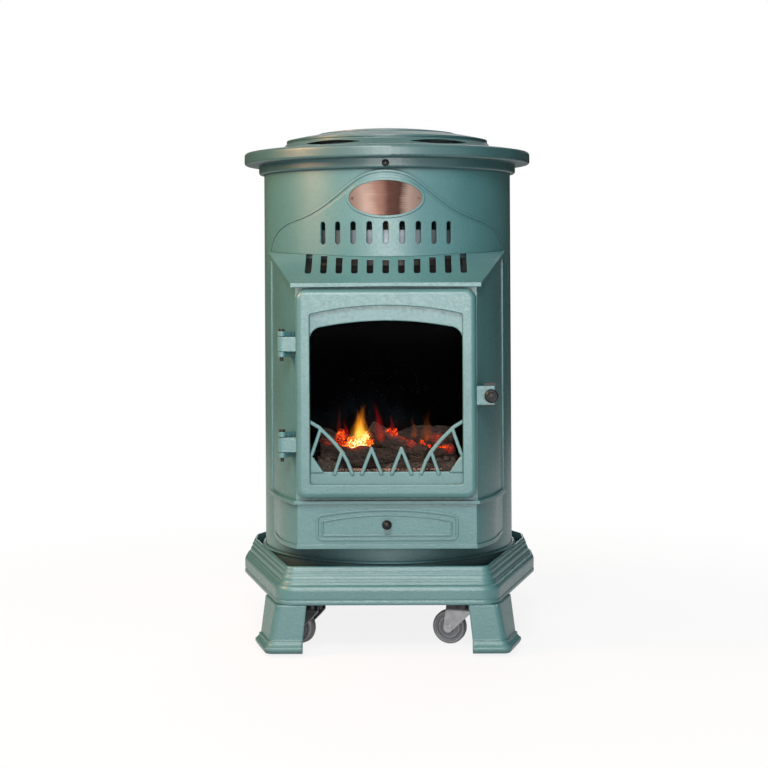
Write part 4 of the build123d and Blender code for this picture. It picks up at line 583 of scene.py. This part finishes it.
logs = {
    "log_front": {"line": [(-97, 186, 279), (-40, 196, 280), (18, 193, 278)], "radii": (15.0, 17.5, 15.0), "seed": 3},
    "log_right": {"line": [(34, 197, 275), (70, 190, 281), (99, 180, 285)], "radii": (12.0, 16.0, 13.5), "seed": 8},
    "log_back": {"line": [(-99, 154, 300), (-50, 151, 292), (0, 151, 294), (50, 153, 301), (98, 151, 301)],
                 "radii": (19.0, 17.0, 18.0, 20.0, 18.0), "seed": 15},
    "log_cross": {"line": [(-24, 172, 322), (10, 184, 300), (56, 201, 283)], "radii": (10.5, 13.5, 12.5), "seed": 21},
}
bark = {
    "rings": 130, "turns": 84, "endRows": 8,
    "groove": 3.1, "lump": 3.2, "crumb": 0.5, "ragged": 3.5, "rounding": 4.0,   # millimetres
    "lumpScale": (34, 1.1), "plateScale": (42, 4.6), "crumbScale": (300, 9), "raggedScale": 3.2,   # along, round
    "endGirth": 0.8, "endScale": 420, "endRelief": 0.0012,
}
glowSpots = [
    # x, front, z, reach, heat
    (-41, 186, 302, 24, 0.85), (-68, 176, 308, 14, 0.5), (8, 180, 312, 15, 0.62), (36, 192, 299, 12, 0.7),
    (52, 188, 296, 11, 0.5), (88, 192, 294, 11, 0.5), (-88, 176, 300, 10, 0.34), (24, 184, 304, 13, 0.5),
    (74, 170, 306, 11, 0.42), (-104, 170, 306, 8, 0.3),
]
glowFall = 0.8                # how fast a spot's heat falls off


def glowAt(place):
    best = 0.0
    for x, front, z, reach, heat in glowSpots:
        away = (place - spot(x, front, z)).length * 1000 / reach
        best = max(best, heat * max(0.0, 1 - away) ** glowFall)
    return best


def barkOut(centre, side, shift, radius):
    # distance of the bark from the log's middle line
    def seen(scale):
        return Vector((centre.x * scale[0], side.y * scale[1], side.z * scale[1]))

    lump = noise.fractal(seen(bark["lumpScale"]) + shift, 0.9, 2.0, 3)
    plates = noise.ridged_multi_fractal(seen(bark["plateScale"]) + shift * 2, 0.85, 2.2, 5, 1.0, 2.0)
    crumbs = noise.noise(seen(bark["crumbScale"]) + shift)
    return radius + (lump * bark["lump"] - (plates - 1.0) * bark["groove"] + crumbs * bark["crumb"]) / 1000


def makeLog(name, values, material):
    line = [spot(*point) for point in values["line"]]
    radii = values["radii"]
    run = (line[-1] - line[0]).normalized()
    stand = Matrix.Translation(line[0]) @ run.to_track_quat("X", "Z").to_matrix().to_4x4()
    back = stand.inverted()
    local = [back @ point for point in line]
    shift = Vector((values["seed"] * 7.3, values["seed"] * 1.9, values["seed"] * 3.1))
    rings, turns = bark["rings"], bark["turns"]
    vertices, faces = [], []
    centres = []
    for ring in range(rings + 1):
        share = ring / rings
        centre = along(local, share)
        radius = along(list(radii), share) / 1000
        endward = min(share, 1 - share) * (local[-1] - local[0]).length * 1000
        fade = min(1.0, endward / bark["rounding"])
        girth = bark["endGirth"] + (1 - bark["endGirth"]) * math.sqrt(fade)
        centres.append(centre)
        for step in range(turns):
            angle = 2 * math.pi * step / turns
            side = Vector((0, math.cos(angle), math.sin(angle)))
            out = barkOut(centre, side, shift, radius) * girth
            ragged = (1 - fade) * noise.noise(side * bark["raggedScale"] + shift) * bark["ragged"] / 1000
            vertices.append(centre + side * out + Vector((ragged, 0, 0)))
    for ring in range(rings):
        for step in range(turns):
            a, b = ring * turns + step, ring * turns + (step + 1) % turns
            faces.append((a, b, b + turns, a + turns))
    for ring, outward in ((0, -1), (rings, 1)):
        before = [ring * turns + step for step in range(turns)]
        for cap in range(1, bark["endRows"] + 1):
            share = 1 - cap / bark["endRows"]
            row = []
            for step in range(turns):
                place = centres[ring].lerp(vertices[ring * turns + step], share)
                relief = noise.noise(place * bark["endScale"] + shift) * bark["endRelief"]
                place = place + Vector((outward * relief, 0, 0))
                row.append(len(vertices))
                vertices.append(place if share else centres[ring])
            for step in range(turns):
                nextStep = (step + 1) % turns
                quad = (before[step], row[step], row[nextStep], before[nextStep])
                faces.append(quad if outward < 0 else tuple(reversed(quad)))
            before = row
    mesh = bpy.data.meshes.new(name + "_bark")
    mesh.from_pydata([tuple(v) for v in vertices], [], faces)
    work = bmesh.new()
    work.from_mesh(mesh)
    bmesh.ops.remove_doubles(work, verts=work.verts, dist=0.00001)
    bmesh.ops.recalc_face_normals(work, faces=work.faces)
    work.to_mesh(mesh)
    work.free()
    warmUp(mesh, [glowAt(stand @ vertex.co) for vertex in mesh.vertices])
    mesh.materials.append(material)
    for face in mesh.polygons:
        face.use_smooth = True
    piece = addObject(name + "_bark", mesh)
    piece.matrix_world = stand
    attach(piece, "cabinet")
    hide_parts(name)


heatStops = [(0.0, (0.0, 0.0, 0.0)), (0.22, (0.12, 0.004, 0.001)), (0.45, (0.75, 0.035, 0.004)),
             (0.68, (1.0, 0.2, 0.012)), (0.86, (1.0, 0.55, 0.09)), (1.0, (1.0, 0.88, 0.5))]
fired = {
    "sheen": 0.25, "smooth": 0.72, "rough": 0.95, "relief": 0.0012,
    "fibreScale": 520.0, "cloudScale": 70.0, "sparkScale": 240.0,
    # the hollow share and pit give a painted shade in hollows
    "ashShare": 0.4, "hollowReach": 0.005, "hollowShare": 0.8, "tipReach": 0.002, "tipShare": 0.45, "pit": 0.25,
    "glow": 2.4, "feed": 1.25, "hollowFeed": 0.35,
    "bark": ((0.005, 0.003, 0.0026), (0.042, 0.024, 0.018), (0.1, 0.07, 0.055)),       # dark, light, ash
    "crust": ((0.012, 0.009, 0.008), (0.06, 0.04, 0.032), (0.15, 0.12, 0.1)),
}


def firedFinish(name, dark, light, ash, stretch=None):
    # ceramic that glows where its points are warm
    finish = Finish(name, Specular_IOR_Level=fired["sheen"], Emission_Strength=fired["glow"])
    fibre = finish.noise(fired["fibreScale"], 5.0, 0.62, stretch)
    cloud = finish.noise(fired["cloudScale"], 4.0, 0.6)
    spark = finish.noise(fired["sparkScale"], 4.0, 0.65, None, 0.8)
    hollow = finish.edges(fired["hollowReach"], False)
    tip = finish.level(finish.edges(fired["tipReach"], True), 0.3, 0.9)
    heat = finish.add("ShaderNodeAttribute", {"attribute_name": "emberWarmth"}, out="Fac")
    shade = finish.mix(finish.level(fibre, 0.42, 0.66), dark, light)
    shade = finish.mix(finish.level(cloud, 0.5, 0.8) * fired["ashShare"], shade, ash)
    shade = finish.mix(tip * fired["tipShare"], shade, ash)
    # painted shade: hollows go towards a far darker bark colour
    shade = finish.mix(hollow * fired["hollowShare"], shade, [c * fired["pit"] for c in dark])
    fed = heat * fired["feed"] * finish.level(spark, 0.36, 0.72) + hollow * heat * fired["hollowFeed"]
    return finish.use(Base_Color=shade, Roughness=finish.level(cloud, 0.3, 0.7, fired["smooth"], fired["rough"]),
                      Emission_Color=finish.ramp(fed.clip(), heatStops),
                      Normal=finish.bump(fibre + cloud * 0.6, fired["relief"], 0.9))


barkBrown = firedFinish("firedBark", *fired["bark"], (0.28, 1, 1))
for logName, logValues in logs.items():
    makeLog(logName, logValues, barkBrown)

rubble = {
    "count": 210, "small": 2.2, "large": 6.5, "seed": 40, "inset": 8.0, "sunk": (-0.5, 0.25),
    "cell": 1.6, "relief": 3.4, "reliefScale": 130, "border": 7.0, "foot": 1.0, "headroom": 1.5, "crest": 3.0,
    "squeeze": ((0.8, 1.3), (0.8, 1.2), (0.6, 0.95)), "rough": 0.34,
}


def makeEmberBed():
    # granular bed: a rough sheet closed to a slab, with loose lumps half sunk in it
    low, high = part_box("ember_bed")
    draw = random.Random(rubble["seed"])
    cell, inset = rubble["cell"] / 1000, rubble["inset"] / 1000
    across, deep = int((high.x - low.x) / cell), int((high.y - low.y) / cell)
    work = bmesh.new()
    grid = []
    for row in range(deep + 1):
        line = []
        for column in range(across + 1):
            x, y = low.x + (high.x - low.x) * column / across, low.y + (high.y - low.y) * row / deep
            edge = min(x - low.x, high.x - x, y - low.y, high.y - y) * 1000
            rise = min(1.0, edge / rubble["border"])
            seen = Vector((x, y, 0.3)) * rubble["reliefScale"]
            relief = noise.fractal(seen, 0.8, 2.1, 4) * rubble["relief"] / 1000
            bulk = high.z - low.z - rubble["headroom"] / 1000
            z = low.z + rubble["foot"] / 1000 + bulk * rise ** 0.6 + relief * rise
            line.append(work.verts.new((x, y, min(z, high.z + rubble["crest"] / 1000))))
        grid.append(line)
    for row in range(deep):
        for column in range(across):
            near, far = grid[row], grid[row + 1]
            work.faces.new((near[column], near[column + 1], far[column + 1], far[column]))
    rim = [edge for edge in work.edges if edge.is_boundary]
    skirt = bmesh.ops.extrude_edge_only(work, edges=rim)["geom"]
    for vertex in [v for v in skirt if isinstance(v, bmesh.types.BMVert)]:
        vertex.co.z = low.z
    bmesh.ops.holes_fill(work, edges=[e for e in work.edges if e.is_boundary], sides=0)
    for index in range(rubble["count"]):
        size = draw.uniform(rubble["small"], rubble["large"]) / 1000
        place = Vector((draw.uniform(low.x + inset, high.x - inset), draw.uniform(low.y + inset, high.y - inset),
                        high.z + size * draw.uniform(*rubble["sunk"])))
        lump = bmesh.ops.create_icosphere(work, subdivisions=3, radius=size)["verts"]
        squeeze = [draw.uniform(*limits) for limits in rubble["squeeze"]]
        shift = Vector((index * 3.7, index * 1.3, 0))
        for vertex in lump:
            way = vertex.co.normalized()
            grow = 1 + rubble["rough"] * noise.fractal(way * 1.7 + shift, 0.9, 2.0, 3)
            vertex.co = place + Vector(a * b for a, b in zip(vertex.co, squeeze)) * grow
    mesh = meshFrom(work, "ember_rubble")
    warmUp(mesh, [glowAt(vertex.co) for vertex in mesh.vertices])
    finish = firedFinish("emberCrust", *fired["crust"])
    piece = addPiece("ember_rubble", mesh, finish, "cabinet")
    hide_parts("ember_bed")


makeEmberBed()

gravel = {"count": 150, "small": 0.9, "large": 1.9, "span": (-72, 78), "front": (207, 211), "top": 265.6,
          "scatter": (-1.6, 0.9), "rough": 0.3, "seed": 77, "sheen": 0.3, "relief": 0.0004,
          "dark": (0.12, 0.06, 0.045), "light": (0.5, 0.3, 0.24)}


def makeGravel():
    # row of small fired pebbles along the front of the bed
    draw = random.Random(gravel["seed"])
    work = bmesh.new()
    for index in range(gravel["count"]):
        size = draw.uniform(gravel["small"], gravel["large"]) / 1000
        x, front = draw.uniform(*gravel["span"]), draw.uniform(*gravel["front"])
        place = spot(x, front, gravel["top"] + draw.uniform(*gravel["scatter"]))
        lump = bmesh.ops.create_icosphere(work, subdivisions=2, radius=size)["verts"]
        shift = Vector((index * 3.1, 0, index * 0.7))
        for vertex in lump:
            way = vertex.co.normalized()
            vertex.co = place + vertex.co * (1 + gravel["rough"] * noise.noise(way * 1.6 + shift))
    mesh = meshFrom(work, "gravel_row")
    finish = Finish("firedGravel", Specular_IOR_Level=gravel["sheen"])
    grain = finish.noise(420.0, 3.0, 0.6)
    shade = finish.mix(finish.level(grain, 0.4, 0.66), gravel["dark"], gravel["light"])
    material = finish.use(Base_Color=shade, Roughness=finish.level(grain, 0.3, 0.7, 0.6, 0.85),
                          Normal=finish.bump(grain, gravel["relief"]))
    addPiece("gravel_row", mesh, material, "cabinet")


makeGravel()

hotHeap = {
    "lumps": [
        # x, front, z, size, heat
        (-56, 188, 297, 5, 0.75), (-50, 190, 298, 6, 1.0), (-43, 190, 299, 6.5, 1.12), (-36, 189, 300, 6, 1.05),
        (-29, 187, 300, 5, 0.85), (-47, 185, 305, 5, 0.8), (-39, 185, 307, 6, 1.05), (-32, 184, 308, 5, 1.1),
        (-35, 183, 314, 4, 0.9), (-41, 183, 314, 4, 0.7), (-30, 182, 315, 3, 0.8), (-53, 182, 305, 4, 0.6),
        (-61, 184, 299, 4, 0.5), (-24, 186, 303, 3.5, 0.62), (-69, 182, 304, 5, 0.47), (-67, 180, 311, 5.5, 0.52),
        (-73, 182, 300, 4, 0.4), (-66, 178, 318, 3, 0.45), (4, 184, 307, 5, 0.5), (9, 184, 313, 5, 0.56),
        (3, 183, 318, 3.5, 0.5), (12, 182, 319, 3, 0.42), (-2, 184, 311, 3, 0.5), (20, 189, 302, 2.5, 0.45),
        (28, 191, 300, 2.5, 0.5), (34, 193, 299, 3, 1.0), (39, 193, 298, 2.6, 0.75), (46, 192, 297, 2.5, 0.5),
        (54, 191, 299, 2.5, 0.45), (61, 190, 297, 2.5, 0.45), (51, 186, 303, 2.5, 0.45), (76, 194, 294, 2.6, 0.48),
        (83, 195, 295, 3, 0.56), (90, 193, 294, 2.6, 0.5),
    ],
    "rough": 0.75, "patchy": (0.86, 0.3), "char": (0.02, 0.008, 0.005), "roughness": 0.9, "sheen": 0.1,
    "glow": 2.2, "feed": 1.08, "crackShare": 0.62, "waver": 0.15, "relief": 0.0015,
}


def makeHotHeap():
    # glowing lumps between the logs
    work = bmesh.new()
    warmth = []
    least, spread = hotHeap["patchy"]
    for index, (x, front, z, size, heat) in enumerate(hotHeap["lumps"]):
        place = spot(x, front, z)
        lump = bmesh.ops.create_icosphere(work, subdivisions=4, radius=size / 1000)["verts"]
        shift = Vector((index * 2.7, 5.1, index * 0.9))
        for vertex in lump:
            way = vertex.co.normalized()
            grow = 1 + hotHeap["rough"] * noise.fractal(way * 2.9 + shift, 0.75, 2.2, 5)
            vertex.co = place + vertex.co * grow
            warmth.append(heat * (least + spread * noise.noise(way * 2.6 + shift)))
    mesh = meshFrom(work, "hot_embers")
    warmUp(mesh, warmth)
    finish = Finish("hotEmber", Base_Color=hotHeap["char"], Specular_IOR_Level=hotHeap["sheen"],
                    Roughness=hotHeap["roughness"], Emission_Strength=hotHeap["glow"])
    heatIn = finish.add("ShaderNodeAttribute", {"attribute_name": "emberWarmth"}, out="Fac")
    cracks = finish.noise(330.0, 4.0, 0.7, None, 1.2)
    cooled = finish.level(cracks, 0.4, 0.62) * hotHeap["crackShare"]
    fed = heatIn * hotHeap["feed"] - cooled + finish.noise(90.0) * hotHeap["waver"]
    material = finish.use(Emission_Color=finish.ramp(fed.clip(), heatStops),
                          Normal=finish.bump(cracks, hotHeap["relief"]))
    addPiece("hot_embers", mesh, material, "cabinet")


makeHotHeap()

flames = {
    # base as x, front, z; height, half width and lean in millimetres; keep: share of the width left at the top
    "flame_heart": {"base": (-40, 188, 302), "height": 58, "half": 17, "lean": 2, "tongues": 5, "kind": "gold",
                    "seed": 5, "keep": 0.35},
    "flame_plume": {"base": (-7, 194, 303), "height": 64, "half": 9.0, "lean": -11, "tongues": 2, "kind": "red",
                    "seed": 9, "keep": 0.9},
    "flame_streak": {"base": (7, 187, 312), "height": 34, "half": 5.5, "lean": 1, "tongues": 2, "kind": "red",
                     "seed": 12, "keep": 0.6},
    "flame_left": {"base": (-61, 182, 306), "height": 34, "half": 5.0, "lean": 2, "tongues": 2, "kind": "red",
                   "seed": 17, "keep": 0.6},
    "flame_edge": {"base": (-72, 168, 312), "height": 52, "half": 4.0, "lean": 1, "tongues": 2, "kind": "dull",
                   "seed": 19, "keep": 0.9},
    "flame_right": {"base": (57, 176, 302), "height": 50, "half": 11.0, "lean": 1, "tongues": 3, "kind": "amber",
                    "seed": 23, "keep": 0.55},
    "flame_far": {"base": (41, 172, 306), "height": 36, "half": 6.0, "lean": -1, "tongues": 2, "kind": "amber",
                  "seed": 31, "keep": 0.6},
    "flame_veil": {"base": (-10, 150, 312), "height": 88, "half": 98.0, "lean": 0, "tongues": 1, "kind": "veil",
                   "seed": 37, "keep": 1.0},
}
flameColours = {
    # colours from foot to tip, strength, thickness
    "gold": ([(0.0, (1.0, 0.62, 0.12)), (0.3, (1.0, 0.5, 0.06)), (0.6, (0.9, 0.3, 0.015)),
              (1.0, (0.5, 0.09, 0.002))], 1.9, 0.8),
    "amber": ([(0.0, (0.8, 0.1, 0.01)), (0.5, (0.5, 0.13, 0.012)), (1.0, (0.2, 0.04, 0.003))], 0.75, 0.42),
    "red": ([(0.0, (1.0, 0.06, 0.015)), (0.5, (0.65, 0.012, 0.012)), (1.0, (0.22, 0.008, 0.008))], 0.85, 0.6),
    "dull": ([(0.0, (0.5, 0.03, 0.015)), (0.5, (0.25, 0.015, 0.01)), (1.0, (0.1, 0.01, 0.006))], 0.7, 0.4),
    "veil": ([(0.0, (0.05, 0.012, 0.008)), (0.4, (0.012, 0.02, 0.026)), (1.0, (0.002, 0.008, 0.014))], 0.8, 0.6),
}
flameShape = {"rows": 34, "columns": 12, "flatten": 0.55, "twist": 0.2, "least": 0.62, "stray": 0.25,
              "sway": 9, "ripple": 3.2, "foot": 0.62, "belly": 0.6,
              "edgeFall": 1.6, "tipFall": 1.3, "footFade": 0.12, "wispScale": 95.0}


def flameFinish(kind):
    stops, strength, thickness = flameColours[kind]
    finish = Finish(kind + "Flame", Base_Color=(0, 0, 0), Specular_IOR_Level=0.0, Roughness=1.0,
                    Emission_Strength=strength)
    flameMap = finish.add("ShaderNodeUVMap", {"uv_map": "flameMap"}, out="UV")
    fromLeft = finish.add("ShaderNodeSeparateXYZ", None, {"Vector": flameMap}, out="X")
    rise = fromLeft.twin("Y")
    across = (fromLeft - 0.5) * 2.0
    wisps = finish.noise(flameShape["wispScale"], 4.0, 0.6, (1, 1, 0.2), 0.5)
    body = (1.0 - across * across).clip() ** flameShape["edgeFall"]
    fade = finish.level(rise, 0.0, flameShape["footFade"]) * (1.0 - rise).clip() ** flameShape["tipFall"]
    veil = (body * fade * finish.level(wisps, 0.3, 0.62, 0.15, 1.0) * thickness).clip()
    return finish.use(Alpha=veil, Emission_Color=finish.ramp((rise + (1.0 - body) * 0.35).clip(), stops))


def makeFlame(name, values, material):
    # crossed sheets, each a tongue that sways and narrows towards its top
    draw = random.Random(values["seed"])
    work = bmesh.new()
    uv = work.loops.layers.uv.new("flameMap")
    rows, columns = flameShape["rows"], flameShape["columns"]
    tongues, keep = values["tongues"], values["keep"]
    height, breadth = values["height"] / 1000, values["half"] / 1000
    for tongue in range(tongues):
        yaw = math.pi * tongue / tongues + draw.uniform(-flameShape["twist"], flameShape["twist"])
        if tongues == 1:
            yaw = 0
        side = Vector((math.cos(yaw), math.sin(yaw) * flameShape["flatten"], 0))
        out = Vector((-math.sin(yaw), math.cos(yaw), 0))
        size = draw.uniform(flameShape["least"], 1.0) if tongue else 1.0
        stray = draw.uniform(-flameShape["stray"], flameShape["stray"])
        foot = spot(*values["base"]) + side * stray * breadth
        shift = Vector((values["seed"] * 1.7 + tongue * 4.1, 0, 0))
        grid = []
        for row in range(rows + 1):
            t = row / rows
            belly = flameShape["belly"] * math.sin(math.pi * min(1, t * 1.5 + 0.12)) * (1 - t)
            half = breadth * size * (flameShape["foot"] + belly) * (keep + (1 - keep) * (1 - t ** 2))
            wander = noise.noise(Vector((t * 2.6, 0.5, 0)) + shift) * flameShape["sway"] * t
            sway = (wander + values["lean"] * t ** 1.4) / 1000
            line = []
            for column in range(columns + 1):
                u = column / columns * 2 - 1
                ripple = noise.noise(Vector((u * 1.4, t * 3.4, 2.0)) + shift) * flameShape["ripple"] * t / 1000
                place = foot + Vector((sway, 0, t * height * size)) + side * u * half + out * ripple
                line.append((work.verts.new(place), (u * 0.5 + 0.5, t)))
            grid.append(line)
        for row in range(rows):
            for column in range(columns):
                corners = [grid[row][column], grid[row][column + 1], grid[row + 1][column + 1], grid[row + 1][column]]
                face = work.faces.new([corner[0] for corner in corners])
                for loop, corner in zip(face.loops, corners):
                    loop[uv].uv = corner[1]
    piece = addPiece(name, meshFrom(work, name, False), material, "cabinet")
    piece.visible_shadow = False


flameFinishes = {kind: flameFinish(kind) for kind in flameColours}
for flameName, flameValues in flames.items():
    makeFlame(flameName, flameValues, flameFinishes[flameValues["kind"]])

fireGlow = {
    "size": 0.012,
    "spots": [
        # place, power, colour
        ((-40, 184, 318), 0.05, (1.0, 0.45, 0.12)), ((10, 186, 318), 0.012, (1.0, 0.12, 0.04)),
        ((46, 198, 304), 0.01, (1.0, 0.2, 0.05)), ((88, 200, 300), 0.006, (1.0, 0.1, 0.03)),
    ],
}
for index, (place, power, colour) in enumerate(fireGlow["spots"]):
    glow = bpy.data.lights.new(f"fireGlow{index}", "POINT")
    glow.energy, glow.color, glow.shadow_soft_size = power, colour, fireGlow["size"]
    addObject(f"fireGlow{index}", glow).location = spot(*place)
print("fire laid")
